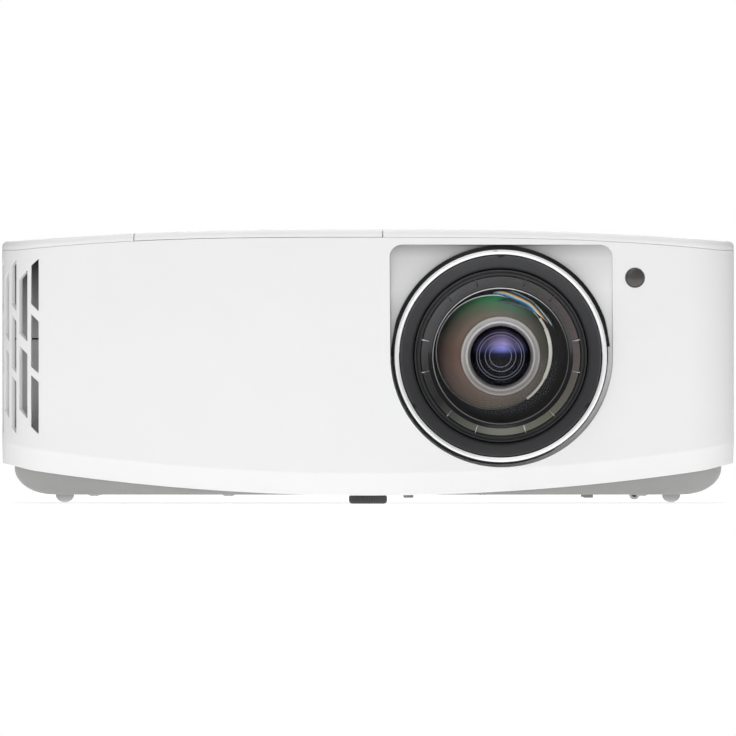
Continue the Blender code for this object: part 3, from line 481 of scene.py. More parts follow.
def rounded_rectangle(low, high, radius, steps=5):
    """Corner points of a rounded rectangle, counter-clockwise."""
    (left, bottom), (right, top) = low, high
    r = min(radius, (right - left) / 2.01, (top - bottom) / 2.01)
    centres = ((right - r, top - r), (left + r, top - r), (left + r, bottom + r), (right - r, bottom + r))
    points = []
    for quarter, centre in enumerate(centres):
        points += arc_points(centre, r, 90 * quarter, 90 * (quarter + 1), steps)
    return points


def sheet_mesh(outlines, thickness, bevel=0.2 * MM, bevel_steps=2):
    """A flat plate in local XY with rounded rims; the first outline is its edge, the others are holes."""
    curve = bpy.data.curves.new("sheet", "CURVE")
    curve.dimensions = "2D"
    curve.fill_mode = "BOTH"
    curve.extrude = thickness / 2 - bevel
    curve.bevel_depth = bevel
    curve.bevel_resolution = bevel_steps
    curve.offset = -bevel
    for outline in outlines:
        spline = curve.splines.new("POLY")
        spline.points.add(len(outline) - 1)
        for target, point in zip(spline.points, outline):
            target.co = (point[0], point[1], 0, 1)
        spline.use_cyclic_u = True
    guide = bpy.data.objects.new("sheet", curve)
    bpy.context.scene.collection.objects.link(guide)
    bpy.context.view_layer.update()
    mesh = applied(guide)
    bm = bmesh.new()
    bm.from_mesh(mesh)
    return to_mesh(bm, "sheet")


def placed(mesh, matrix):
    """The mesh, moved by a matrix."""
    mesh.transform(matrix)
    return mesh


def box_mesh(low, high, bevel=0.3 * MM, segments=2):
    """A box between two corners with rounded edges."""
    size = Vector(high) - Vector(low)
    bm = bmesh.new()
    place = Matrix.Translation((Vector(low) + Vector(high)) / 2) @ Matrix.Diagonal((*size, 1.0))
    bmesh.ops.create_cube(bm, size=1.0, matrix=place)
    reach = min(bevel, min(size) * 0.45)
    if reach > 0:
        bmesh.ops.bevel(bm, geom=bm.edges[:], offset=reach, segments=segments, affect="EDGES", profile=0.5)
    return to_mesh(bm, "box")


def join_rows(bm, rows):
    """Faces between neighbouring rows, each of which is a closed ring of vertices."""
    for low, high in zip(rows, rows[1:]):
        count = len(low)
        for i in range(count):
            j = (i + 1) % count
            bm.faces.new((low[i], low[j], high[j], high[i]))


def loft_mesh(rings):
    """Rings of equally many points joined by faces; the last joins the first."""
    bm = bmesh.new()
    rows = [[bm.verts.new(point) for point in ring] for ring in rings]
    join_rows(bm, rows + rows[:1])
    return to_mesh(bm, "loft")


def band_mesh(sections):
    """A bar along open rows of points with a flat cap at each end: each row is one closed cross-section."""
    bm = bmesh.new()
    rows = [[bm.verts.new(point) for point in section] for section in sections]
    join_rows(bm, rows)
    bm.faces.new(rows[0])
    bm.faces.new(rows[-1][::-1])
    return to_mesh(bm, "band")


def joined(meshes):
    """Several meshes as one."""
    bm = bmesh.new()
    for mesh in meshes:
        bm.from_mesh(mesh)
        bpy.data.meshes.remove(mesh)
    mesh = bpy.data.meshes.new("joined")
    bm.to_mesh(mesh)
    bm.free()
    return mesh


def recoloured(nodes, material):
    """Gives CAD nodes that stay in view their look."""
    for name in nodes:
        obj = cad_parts[name]
        obj.data.materials.clear()
        obj.data.materials.append(material)


# ---------------------------------------------------------------- main shell

SEAM_X = -135 * MM
SEAM_START = -(REAR_CORNER_END + REAR_CENTRE_X + SEAM_X)
SEAM_END = SEAM_START + 2 * HALF_LENGTH
SEAM_SPARE = 3 * MM
CREASE_ROUND = 0.5 * MM
SHELL_RIM = 0.25 * MM

RECESS_LEFT, RECESS_RIGHT, RECESS_TOP = 9.3 * MM, 105 * MM, 111.3 * MM
RECESS_CORNER, RECESS_ROUND = 5.3 * MM, 47.75 * MM
PANEL_LAP = 3 * MM
RECESS_MIDDLE = LENS_X + 0.35 * MM

VENT_START = math.radians(22.9)
VENT_PITCH = 12.1 * MM
VENT_SIDES = ((-1, 0.0, 10), (1, 108 * MM, 7))
VENT_WALL = 1.0 * MM
VENT_RELIEF = 6.6 * MM
VENT_LOW, VENT_HIGH = 28 * MM, 107.5 * MM
# Start and width of each column, then top near, top far, bottom near and bottom far of each opening
VENT_COLUMNS = (
    (0.0, 3.7, ((105.3, 102.4, 82.8, 86.0), (78.4, 81.6, 56.2, 58.9), (52.3, 55.4, 30.0, 33.1))),
    (5.6, 4.6, ((100.4, 96.5, 69.7, 73.5), (64.3, 68.0, 36.7, 40.8))),
)


def shell_place(distance):
    """outline_place for the unrolled shell, which runs on past the rear middle."""
    if distance > HALF_LENGTH:
        distance -= 2 * HALF_LENGTH
    return outline_place(distance)


def recess_outline(inset, steps=96):
    """The lens recess as (x, z): square above the lens middle, round below it."""
    left, right = RECESS_LEFT + inset, RECESS_RIGHT - inset
    top, corner = RECESS_TOP - inset, RECESS_CORNER - inset
    radius = RECESS_ROUND - inset
    points = arc_points((right - corner, top - corner), corner, 0, 90, 10)
    for i in range(1, 12):
        points.append((right - corner - (right - left - 2 * corner) * i / 12, top))
    points += arc_points((left + corner, top - corner), corner, 90, 180, 10)
    points += arc_points((RECESS_MIDDLE, LENS_Z), radius, 180, 360, steps)
    return points


def vent_start(start):
    """Distance along the outline at which a side's vents begin."""
    return CORNER_END - FRONT_CORNER * (math.pi / 2 - VENT_START) + start


def vent_outlines():
    """Every vent opening as (distance along the outline, z)."""
    outlines = []
    for side, start, groups in VENT_SIDES:
        for group in range(groups):
            for offset, width, openings in VENT_COLUMNS:
                near = vent_start(start) + group * VENT_PITCH + offset * MM
                far = near + width * MM
                for top_near, top_far, bottom_near, bottom_far in openings:
                    corners = [(side * near, bottom_near * MM), (side * far, bottom_far * MM),
                               (side * far, top_far * MM), (side * near, top_near * MM)]
                    outlines.append(rounded(corners, 0.5 * MM, 4))
    return outlines


def vent_reliefs():
    """Boxes that thin the unrolled wall from behind at each side's first column of vents."""
    boxes = []
    for side, start, _ in VENT_SIDES:
        near = vent_start(start) - 2 * MM
        far = vent_start(start) + VENT_RELIEF
        low, high = sorted((side * near, side * far))
        boxes.append(box_mesh((low, VENT_LOW, -WALL), (high, VENT_HIGH, WALL / 2 - VENT_WALL), 0))
    return boxes


def shell_cuts():
    """Where the flat shell is divided along its length: often where it bends or its edges curve."""
    curved = [s for s in outline_stations(7 * MM, 1.4 * MM) if not CORNER_END < s < SIDE_END]
    cuts = curved + [SIDE_END, HALF_LENGTH] + [-s for s in curved[1:] + [SIDE_END]]
    cuts += [2 * HALF_LENGTH - s for s in curved]
    return sorted(s for s in cuts if SEAM_START + 0.2 * MM < s < SEAM_END - 0.2 * MM)


def shell_domain():
    """The shell unrolled flat: X is distance along the outline, Y is height, Z is depth."""
    stations = [SEAM_START - SEAM_SPARE, SEAM_START] + shell_cuts() + [SEAM_END, SEAM_END + SEAM_SPARE]
    edge = []
    for height, order in ((shell_bottom_height, stations), (top_line_height, reversed(stations))):
        for s in order:
            x = shell_place(min(max(s, SEAM_START), SEAM_END))[0].x
            edge.append((s, height(x)))
    recess = [(front_distance(x), z) for x, z in recess_outline(0)]
    window_r = (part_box("ir_window")[1][2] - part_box("ir_window")[0][2]) / 2 + 0.15 * MM
    window = arc_points((front_distance(IR_WINDOW.x), IR_WINDOW.z), window_r, 0, 360, 64)[:-1]
    rear_left = 2 * HALF_LENGTH - (REAR_CORNER_END + REAR_CENTRE_X + PANEL_LOW[0] + PANEL_LAP)
    rear_right = REAR_CORNER_END + REAR_CENTRE_X - (PANEL_HIGH[0] - PANEL_LAP)
    panel = rounded_rectangle((rear_right, PANEL_LOW[2] + PANEL_LAP), (rear_left, PANEL_HIGH[2] - PANEL_LAP),
                              3 * MM)
    outlines = [edge, recess, window, panel] + vent_outlines()
    return sheet_mesh(outlines, WALL, SHELL_RIM, 1)


def tuck_at(height, share):
    """How far the wall is set in at a height above its lower edge, and how fast that changes."""
    slope = CREASE_TUCK * share / CREASE_HEIGHT
    below = CREASE_HEIGHT - height
    if below <= -CREASE_ROUND:
        return 0.0, 0.0
    if below >= CREASE_ROUND:
        return slope * below, slope
    reach = below + CREASE_ROUND
    return slope * reach ** 2 / (4 * CREASE_ROUND), slope * reach / (2 * CREASE_ROUND)


def cut_across(bm, axis, stations):
    """Cuts the mesh at each station along an axis, touching only the faces that cross it."""
    def reach(face):
        values = [vert.co[axis] for vert in face.verts]
        return min(values), max(values)

    spans = {face: reach(face) for face in bm.faces}
    direction = Vector([1.0 if i == axis else 0.0 for i in range(3)])
    for station in sorted(stations):
        spans = {face: ends for face, ends in spans.items() if ends[1] > station}
        crossing = [face for face, (low, high) in spans.items()
                    if low < station - WELD and high > station + WELD]
        if not crossing:
            continue
        geometry = dict.fromkeys(crossing)
        for face in crossing:
            geometry.update(dict.fromkeys(face.edges))
            geometry.update(dict.fromkeys(face.verts))
            spans.pop(face)
        result = bmesh.ops.bisect_plane(bm, geom=list(geometry), plane_co=direction * station,
                                        plane_no=direction, dist=WELD)
        for element in result["geom"]:
            if isinstance(element, bmesh.types.BMFace):
                spans[element] = reach(element)


def trimmed_ends(bm, low, high):
    """Cuts the mesh off square at both ends along X."""
    for at, outward in ((low, -1), (high, 1)):
        geometry = bm.verts[:] + bm.edges[:] + bm.faces[:]
        bmesh.ops.bisect_plane(bm, geom=geometry, plane_co=(at, 0, 0), plane_no=(outward, 0, 0),
                               clear_outer=True)


def make_main_shell():
    """The white wall round the body, bent from its flat form, with a smooth normal at every point."""
    bm = bmesh.new()
    bm.from_mesh(cut(shell_domain(), *vent_reliefs()))
    trimmed_ends(bm, SEAM_START, SEAM_END)
    cut_across(bm, 0, shell_cuts())
    for vert in bm.verts:
        vert.co.y -= shell_bottom_height(shell_place(vert.co.x)[0].x)
    cut_across(bm, 1, [CREASE_HEIGHT + CREASE_ROUND * step / 2 for step in range(-2, 3)])
    bm.normal_update()
    half = WALL / 2
    normals = []
    for vert in bm.verts:
        if vert.co.z > half - WELD:
            normal = Vector((0, 0, 1))
        elif vert.co.z < -half + WELD:
            normal = Vector((0, 0, -1))
        else:
            normal = Vector()
            for face in vert.link_faces:
                normal += face.normal * face.calc_area()
            normal.normalize()
        normals.append(normal)
    mapped = []
    for vert in bm.verts:
        s, height, depth = vert.co
        point, outward = shell_place(s)
        nudge = 0.5 * MM
        ahead = shell_bottom_height(shell_place(min(s + nudge, SEAM_END))[0].x)
        behind = shell_bottom_height(shell_place(max(s - nudge, SEAM_START))[0].x)
        rise = (ahead - behind) / (2 * nudge)
        tuck, lean = tuck_at(height, 0.15 + 0.85 * abs(outward.y) ** 1.5)
        along = Vector((-outward.y, outward.x, 0))
        up = Vector((0, 0, 1))
        out = Vector((outward.x, outward.y, 0))
        bottom = shell_bottom_height(point.x)
        place = Vector((point.x, point.y, 0)) + out * (depth - half - tuck) + up * (height + bottom)
        mapped.append((place, along, up - along * rise, out - up * lean))
    final = []
    for vert, normal, (place, along, up, out) in zip(bm.verts, normals, mapped):
        final.append((along * normal.x + up * normal.y + out * normal.z).normalized())
        vert.co = place
    bmesh.ops.edgeloop_fill(bm, edges=[edge for edge in bm.edges if edge.is_boundary])
    mesh = bpy.data.meshes.new("main_shell_skin")
    bm.to_mesh(mesh)
    bm.free()
    mesh.shade_smooth()
    mesh.normals_split_custom_set_from_vertices(final)
    piece("main_shell_skin", mesh, WHITE, ("main_shell",), slot="white_shell")


# ---------------------------------------------------------------- top cover and lamp cover

CROWN_STEPS = 7
COVER_THICK = 2.0 * MM
PARTING = 0.07 * MM
LID_GAP = 0.35 * MM
LID_PARTING = 0.14 * MM
COVER_RIM = 0.12 * MM
LID_SCREW = middle("lamp_cover_screw")
KEY_NAMES = ("enter", "up", "down", "left", "right", "power", "menu", "source")


def inset_from_outline(x, y):
    """How far inside the outline a point near it lies."""
    ax = abs(x)
    if y > REAR_CENTRE_Y and ax > REAR_CENTRE_X:
        return REAR_CORNER - math.hypot(ax - REAR_CENTRE_X, y - REAR_CENTRE_Y)
    if y < CORNER_Y and ax > CORNER_X and math.atan2(ax - CORNER_X, CORNER_Y - y) > MEET:
        return FRONT_CORNER - math.hypot(ax - CORNER_X, y - CORNER_Y)
    return min(REAR_Y - y, HALF_X - ax, FRONT_ARC - math.hypot(x, y - ARC_CENTRE_Y))


def on_curve(point):
    """Whether a point of the outline lies on the front arc or a corner rather than a straight side."""
    slack = 0.01 * MM
    rear = point.y > REAR_CENTRE_Y - slack and abs(point.x) > REAR_CENTRE_X - slack
    return rear or point.y < CORNER_Y + slack


def crown_mesh(keep, parting):
    """Part of the crowned top, with its rounded edge and the band down to the parting line."""
    bm = bmesh.new()
    bm.faces.new([bm.verts.new((p.x, p.y, 0)) for p in ring_points(CROWN_ROUND) if on_curve(p)])
    bm.normal_update()
    columns = [i * 5 * MM for i in range(-30, 31)]
    cut_across(bm, 0, columns + [LID_LOW[0] - LID_GAP, LID_LOW[0], LID_HIGH[0], LID_HIGH[0] + LID_GAP])
    cut_across(bm, 1, [LID_HIGH[1], LID_HIGH[1] + LID_GAP])
    unwanted = [face for face in bm.faces if not keep(*face.calc_center_median().xy)]
    bmesh.ops.delete(bm, geom=unwanted, context="FACES")
    edge_columns = {}
    for vert in list(bm.verts):
        x, y = vert.co.xy
        vert.co.z = crown_height(x)
        if abs(inset_from_outline(x, y) - CROWN_ROUND) > 0.05 * MM:
            continue
        outward = outline_direction(x, y)
        column = [vert]
        for step in range(1, CROWN_STEPS + 1):
            angle = math.pi / 2 * step / CROWN_STEPS
            place = Vector((x, y)) + outward * CROWN_ROUND * math.sin(angle)
            height = crown_height(place.x) - CROWN_ROUND * (1 - math.cos(angle))
            column.append(bm.verts.new((*place, height)))
        column.append(bm.verts.new((*place, top_line_height(place.x) + parting)))
        edge_columns[vert] = column
    for edge in [edge for edge in bm.edges if edge.is_boundary]:
        near, far = (edge_columns.get(vert) for vert in edge.verts)
        if near and far:
            for i in range(len(near) - 1):
                bm.faces.new((near[i], far[i], far[i + 1], near[i + 1]))
    bmesh.ops.recalc_face_normals(bm, faces=bm.faces)
    if max(bm.faces, key=lambda face: face.calc_area()).normal.z < 0:
        bmesh.ops.reverse_faces(bm, faces=bm.faces)
    mesh = bpy.data.meshes.new("crown")
    bm.to_mesh(mesh)
    bm.free()
    return modified(
        mesh,
        ("SOLIDIFY", {"thickness": COVER_THICK, "offset": -1.0, "use_even_offset": True}),
        ("BEVEL", {"width": COVER_RIM, "segments": 2, "limit_method": "ANGLE",
                   "angle_limit": math.radians(60)}),
    )


def key_place(name):
    """Middle of a key's top and its radius."""
    low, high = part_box(f"key_{name}")
    flange = 1.0 * MM
    return Vector(((low[0] + high[0]) / 2, (low[1] + high[1]) / 2, high[2])), (high[0] - low[0]) / 2 - flange


def key_hole(name):
    """The cutter for a key's hole, wider at the top."""
    place, radius = key_place(name)
    bore, rim = radius + 0.25 * MM, radius + 0.55 * MM
    profile = [(0, -8 * MM), (bore, -8 * MM), (bore, -0.5 * MM), (rim, 0.15 * MM), (rim, 5 * MM), (0, 5 * MM)]
    return turned_mesh(profile, place - Vector((0, 0, 0.6 * MM)), closed=False, steps=72)


def make_top():
    """The top cover with its key holes, and the lamp cover with its screw hole."""
    left, right, rear = LID_LOW[0], LID_HIGH[0], LID_HIGH[1]

    def in_lid(x, y):
        return left < x < right and y < rear

    def in_cover(x, y):
        return not (left - LID_GAP < x < right + LID_GAP and y < rear + LID_GAP)

    cover = crown_mesh(in_cover, PARTING)
    cover = cut(cover, joined([key_hole(name) for name in KEY_NAMES]))
    piece("top_cover_skin", cover, WHITE, ("top_cover",), slot="white_shell")

    lid = crown_mesh(in_lid, LID_PARTING)
    top = crown_height(LID_SCREW.x)
    sink = turned_mesh(mm((0, -9), (3.3, -9), (3.3, -0.6), (4.0, 0.1), (4.0, 5), (0, 5)),
                       (LID_SCREW.x, LID_SCREW.y, top), closed=False)
    piece("lamp_cover_skin", cut(lid, sink), WHITE, ("lamp_cover",), body="lid", slot="white_shell")


def make_lid_screw():
    """A countersunk screw with a cross recess."""
    low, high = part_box("lamp_cover_screw")
    radius = (high[0] - low[0]) / 2
    top = high[2]
    profile = [(0, top), (radius - 0.8 * MM, top), (radius - 0.25 * MM, top - 0.15 * MM),
               (radius, top - 0.5 * MM), (radius, top - 1.8 * MM), (radius * 0.5, top - 2.2 * MM),
               (radius * 0.5, low[2] + 0.5 * MM), (radius * 0.3, low[2]), (0, low[2])]
    screw = turned_mesh(profile, (LID_SCREW.x, LID_SCREW.y, 0), closed=False, steps=48)
    arm, width, depth = 1.7 * MM, 0.5 * MM, 1.4 * MM
    centre = Vector((LID_SCREW.x, LID_SCREW.y, top))
    tools = []
    for reach in (Vector((arm, width, 0)), Vector((width, arm, 0))):
        low_corner = centre - reach - Vector((0, 0, depth))
        tools.append(box_mesh(low_corner, centre + reach + Vector((0, 0, 1 * MM)), 0))
    piece("lamp_cover_screw_head", cut(screw, *tools), STEEL, ("lamp_cover_screw",), body="lid_screw",
          slot="satin_metal")


def make_shell_lip():
    """The inward lip under the wall, down to the base tray."""
    near = CREASE_TUCK + 0.8 * MM
    levels = ((near, 0.25), (LIP_INSET - 0.5 * MM, 0.6), (LIP_INSET, 1.1), (LIP_INSET, 2.6), (near, 2.6))
    rings = []
    for inset, rise in levels:
        rings.append([(p.x, p.y, shell_bottom_height(p.x) + rise * MM) for p in ring_points(inset)])
    piece("shell_lip", loft_mesh(rings), WHITE, slot="white_shell")


# ---------------------------------------------------------------- lens

LENS_AXIS = Vector((LENS_X, 0, LENS_Z))
RECESS_FLOOR = 124.5 * MM
ECCENTRIC = Vector((-3.2 * MM, 0, 1.7 * MM))
DOME_REACH = 12.6 * MM
# Degrees and rise of a tick's corners, then of a rainbow sliver's, which take half its width as 1
TICK_SHAPE = ((-0.42, -0.3), (0.42, -0.3), (0.42, 0.1), (0, 0.2), (-0.42, 0.1))
SLIVER_SHAPE = ((-1, 0), (-0.4, 0.18), (0.4, 0.18), (1, 0), (0, -0.2))
# The slivers carry a painted rainbow reflection.
# Start and end angle, near and far radius, half width and distance ahead
SLIVERS = (
    (28, 90, 26.8, 25.4, 1.9, 108.15),
    (44, 84, 24.8, 22.2, 1.4, 108.5),
    (20, 52, 28.2, 27.2, 0.9, 108.3),
)


def lens_mesh(profile, closed=True, steps=144, rounding=0.0):
    """Turned about the lens axis, from (radius, distance ahead of the body's middle) in millimetres."""
    points = [(radius * MM, ahead * MM) for radius, ahead in profile]
    if rounding:
        points = rounded(points, rounding * MM, 3)
    return turned_mesh(points, LENS_AXIS, FRONTWARD, steps, closed)


def lens_point(radius, degrees, ahead, offset=(0, 0)):
    """A point near the lens, by radius, angle and distance ahead, in millimetres."""
    angle = math.radians(degrees)
    return Vector((LENS_X + (radius * math.cos(angle) + offset[0]) * MM, -ahead * MM,
                   LENS_Z + (radius * math.sin(angle) + offset[1]) * MM))


def arc_band(start, end, inner, outer, back, front, step=2.0, offset=(0, 0), edge=0.15):
    """A curved bar about the lens axis between two angles, with softened front corners."""
    count = max(2, round(abs(end - start) / step))
    sections = []
    for i in range(count + 1):
        degrees = start + (end - start) * i / count
        profile = ((outer, back), (outer, front - edge), (outer - edge, front), (inner + edge, front),
                   (inner, front - edge), (inner, back))
        sections.append([lens_point(radius, degrees, ahead, offset) for radius, ahead in profile])
    return band_mesh(sections)


def coated_glass(name, tint, gloss, roughness=0.11):
    """Clear glass that lets light straight through, with a soft coating reflection at grazing angles."""
    material, tree, shader, coords = new_material(name)
    tree.nodes.remove(shader)
    clear = tree.nodes.new("ShaderNodeBsdfTransparent")
    film = noise(tree, coords, 55, 2)
    tone = ramp(tree, film, "Fac", [(0.3, shaded(tint, 0.97)), (0.7, tint)])
    link(tree, tone, "Color", clear, "Color")
    shine = tree.nodes.new("ShaderNodeBsdfGlossy")
    shine.inputs["Color"].default_value = (0.75, 0.85, 1.0, 1.0)
    dust = noise(tree, coords, 60, 2)
    rough = ranged(tree, dust, "Fac", roughness, roughness * 1.4)
    link(tree, rough, "Result", shine, "Roughness")
    weight = tree.nodes.new("ShaderNodeFresnel")
    weight.inputs["IOR"].default_value = gloss
    mix = tree.nodes.new("ShaderNodeMixShader")
    link(tree, weight, "Fac", mix, "Fac")
    tree.links.new(clear.outputs["BSDF"], mix.inputs[1])
    tree.links.new(shine.outputs["BSDF"], mix.inputs[2])
    link(tree, mix, "Shader", tree.nodes["Material Output"], "Surface")
    return material


def vector_step(tree, operation, source, output, value=None):
    """One vector operation on a node's output, with a fixed second vector if it takes one."""
    node = tree.nodes.new("ShaderNodeVectorMath")
    node.operation = operation
    if value is not None:
        node.inputs[1].default_value = value
    link(tree, source, output, node, 0)
    return node


def number_step(tree, operation, source, output="Value", value=None):
    """One operation on a node's value, with a fixed second number if it takes one."""
    node = tree.nodes.new("ShaderNodeMath")
    node.operation = operation
    if value is not None:
        node.inputs[1].default_value = value
    link(tree, source, output, node, 0)
    return node


def polar(tree, coords, centre):
    """Nodes that give the radius in metres, and the turn about a point on the lens, from 0 to 1."""
    shift = vector_step(tree, "SUBTRACT", coords, "Object", centre)
    parts = tree.nodes.new("ShaderNodeSeparateXYZ")
    link(tree, shift, "Vector", parts, "Vector")
    angle = number_step(tree, "ARCTAN2", parts, "Z")
    link(tree, parts, "X", angle, 1)
    turn = number_step(tree, "DIVIDE", angle, value=math.tau)
    centred = number_step(tree, "ADD", turn, value=0.5)
    flat = vector_step(tree, "MULTIPLY", shift, "Vector", (1, 0, 1))
    return vector_step(tree, "LENGTH", flat, "Vector"), centred


def multiplied(tree, shader, first, second, factor):
    """The shader's colour: two ramps multiplied, by a share that a node gives."""
    final = blended(tree, first, second, factor, "MULTIPLY")
    link(tree, final, 2, shader, "Base Color")


def painted_reflection_film_material():
    """The coated inner element with painted reflections: green at the top, brown at the left, olive at the
    foot, black inside.
    """
    material, tree, shader, coords = new_material("lens_film_painted_reflection")
    radius, angle = polar(tree, coords, LENS_AXIS + ECCENTRIC * 0.6)
    # The angle runs from the left (0) through the foot (0.25), the right (0.5) and the top (0.75)
    # Painted reflection: the colour round the element stands in for studio light reflected in its coating
    outer = ramp(tree, angle, "Value", [
        (0.00, (0.034, 0.021, 0.016)), (0.12, (0.056, 0.036, 0.026)), (0.25, (0.071, 0.076, 0.043)),
        (0.38, (0.065, 0.065, 0.056)), (0.50, (0.028, 0.031, 0.028)), (0.62, (0.019, 0.034, 0.026)),
        (0.70, (0.012, 0.230, 0.150)), (0.76, (0.020, 0.250, 0.090)), (0.82, (0.030, 0.120, 0.050)),
        (0.90, (0.020, 0.030, 0.022)),
        (1.00, (0.034, 0.021, 0.016)),
    ])
    inner = ramp(tree, angle, "Value", [
        (0.00, (0.168, 0.102, 0.080)), (0.25, (0.186, 0.131, 0.102)), (0.50, (0.140, 0.135, 0.115)),
        (0.75, (0.195, 0.177, 0.135)), (1.00, (0.168, 0.102, 0.080)),
    ])
    reach = scaled(tree, radius, "Value", 17 * MM, 24.6 * MM)
    base = blended(tree, (inner, "Color"), (outer, "Color"), (reach, "Result"))
    # Painted reflection: faint concentric rings of light and dark
    rings = number_step(tree, "MULTIPLY", radius, value=1200)
    wave = number_step(tree, "SINE", rings)
    level = scaled(tree, wave, "Value", -5.0, 1.0)
    shade = ramp(tree, level, "Result", [(0.0, (0.8, 0.8, 0.8)), (1.0, (1.05, 1.0, 1.0))])
    share = ranged(tree, noise(tree, coords, 140, 2), "Fac", 0.6, 0.9)
    multiplied(tree, shader, (base, 2), (shade, "Color"), (share, "Result"))
    uneven_gloss(tree, coords, shader, 300, -0.9, 3.0)
    shader.inputs["Specular IOR Level"].default_value = 0.3
    shader.inputs["Coat Weight"].default_value = 0.15
    shader.inputs["Coat Roughness"].default_value = 0.1
    return material


def painted_rainbow_reflection_material():
    """A painted thin rainbow reflection that runs from blue through yellow to orange."""
    material, tree, shader, coords = new_material("lens_painted_rainbow_reflection")
    radius, _ = polar(tree, coords, LENS_AXIS + ECCENTRIC)
    wobble = number_step(tree, "MULTIPLY_ADD", noise(tree, coords, 75, 1), "Fac", 0.5)
    link(tree, scaled(tree, radius, "Value", 22.2 * MM, 29.5 * MM), "Result", wobble, 2)
    # Painted reflection: rainbow colours across each sliver
    hue = ramp(tree, wobble, "Value", [
        (0.50, (0.02, 0.05, 0.04)), (0.60, (0.02, 0.10, 0.34)), (0.68, (0.16, 0.55, 0.72)),
        (0.74, (0.90, 0.92, 0.80)), (0.80, (0.80, 0.50, 0.12)), (0.85, (0.30, 0.10, 0.06)),
        (0.90, (0.01, 0.02, 0.03)), (0.95, (0.05, 0.30, 0.50)), (0.98, (0.70, 0.75, 0.60)),
        (1.00, (0.05, 0.06, 0.05)),
    ])
    link(tree, hue, "Color", shader, "Base Color")
    uneven_gloss(tree, coords, shader, 300, -0.5, 3.0)
    shader.inputs["Coat Weight"].default_value = 0.5
    return material


def painted_reflection_dome_material():
    """The small inner element: near black, with a painted violet and blue reflection in its upper half."""
    material, tree, shader, coords = new_material("lens_dome_painted_reflection")
    parts = tree.nodes.new("ShaderNodeSeparateXYZ")
    link(tree, coords, "Object", parts, "Vector")
    height = scaled(tree, parts, "Z", LENS_Z - DOME_REACH, LENS_Z + DOME_REACH)
    # Painted reflection: violet and blue in the upper half, dark below
    tone = ramp(tree, height, "Result", [
        (0.00, (0.020, 0.015, 0.024)), (0.18, (0.006, 0.006, 0.007)), (0.46, (0.005, 0.005, 0.007)),
        (0.54, (0.030, 0.034, 0.110)), (0.61, (0.270, 0.300, 0.860)), (0.70, (0.480, 0.430, 0.900)),
        (0.84, (0.200, 0.150, 0.300)), (1.00, (0.022, 0.018, 0.032)),
    ])
    side = scaled(tree, parts, "X", LENS_X - DOME_REACH, LENS_X + DOME_REACH)
    # Painted reflection: brightest down the middle, fading to the sides
    painted_reflection_fade = ramp(tree, side, "Result", [
        (0.00, (0.03, 0.03, 0.03)), (0.28, (0.16, 0.16, 0.16)), (0.44, (0.70, 0.70, 0.70)),
        (0.56, (1.0, 1.0, 1.0)), (0.72, (0.30, 0.30, 0.30)), (1.00, (0.04, 0.04, 0.04)),
    ])
    full = ranged(tree, noise(tree, coords, 200, 2), "Fac", 0.9, 1.0)
    multiplied(tree, shader, (tone, "Color"), (painted_reflection_fade, "Color"), (full, "Result"))
    uneven_gloss(tree, coords, shader, 60, -0.9, 3.2)
    shader.inputs["Specular IOR Level"].default_value = 0.15
    return material


def painted_highlight_silver_material():
    """The metal round the small element, with painted light: a thin bright highlight line between a shaded
    dark inner slope and a softer band, lighter at the top and the left.
    """
    material, tree, shader, coords = new_material("silver_painted_highlight")
    radius, angle = polar(tree, coords, LENS_AXIS)
    across = scaled(tree, radius, "Value", 12.5 * MM, 17.5 * MM)
    # Painted highlight and shade across the ring: a dark inner slope, then a white line
    bands = ramp(tree, across, "Result", [
        (0.04, (0.07, 0.07, 0.08)), (0.10, (0.20, 0.19, 0.20)), (0.27, (0.36, 0.345, 0.34)),
        (0.31, (0.30, 0.29, 0.28)), (0.35, (1.00, 1.00, 1.00)), (0.46, (1.00, 1.00, 1.00)),
        (0.52, (0.46, 0.44, 0.43)), (0.80, (0.62, 0.60, 0.58)), (1.00, (0.34, 0.31, 0.28)),
    ])
    # Painted light round the ring: brighter at the top and the left, darker at the foot
    around = ramp(tree, angle, "Value", [
        (0.00, (1.00, 0.99, 0.97)), (0.10, (0.80, 0.77, 0.75)), (0.25, (0.70, 0.67, 0.65)),
        (0.40, (0.66, 0.66, 0.64)), (0.52, (0.78, 0.78, 0.76)), (0.66, (0.95, 0.95, 0.95)),
        (0.78, (1.00, 1.00, 1.00)), (1.00, (1.00, 0.99, 0.97)),
    ])
    full = scaled(tree, noise(tree, coords, 90, 2), "Fac", -2.0, 0.6)
    multiplied(tree, shader, (bands, "Color"), (around, "Color"), (full, "Result"))
    uneven_gloss(tree, coords, shader, 300, -0.9, 3.0)
    shader.inputs["Metallic"].default_value = 0.1
    return material


def painted_shade_height_material(name, low, high, stops, mottle, grain, smooth_level, bump):
    """Plastic whose colour changes with height, which paints shade; mottle is its noise scale and its darkest
    level.
    """
    material, tree, shader, coords = new_material(name)
    parts = tree.nodes.new("ShaderNodeSeparateXYZ")
    link(tree, coords, "Object", parts, "Vector")
    fall = ramp(tree, scaled(tree, parts, "Z", low, high), "Result", stops)
    mottle_scale, darkest = mottle
    tone = ramp(tree, noise(tree, coords, mottle_scale, 4), "Fac", [(0.3, (darkest,) * 3), (0.7, (1, 1, 1))])
    whole = scaled(tree, noise(tree, coords, 20, 1), "Fac", -9.0, 0.5)
    multiplied(tree, shader, (fall, "Color"), (tone, "Color"), (whole, "Result"))
    fine = noise(tree, coords, grain, 2)
    link(tree, scaled(tree, fine, "Fac", -2.0, smooth_level), "Result", shader, "Roughness")
    bumped(tree, fine, shader, bump)
    return material, shader


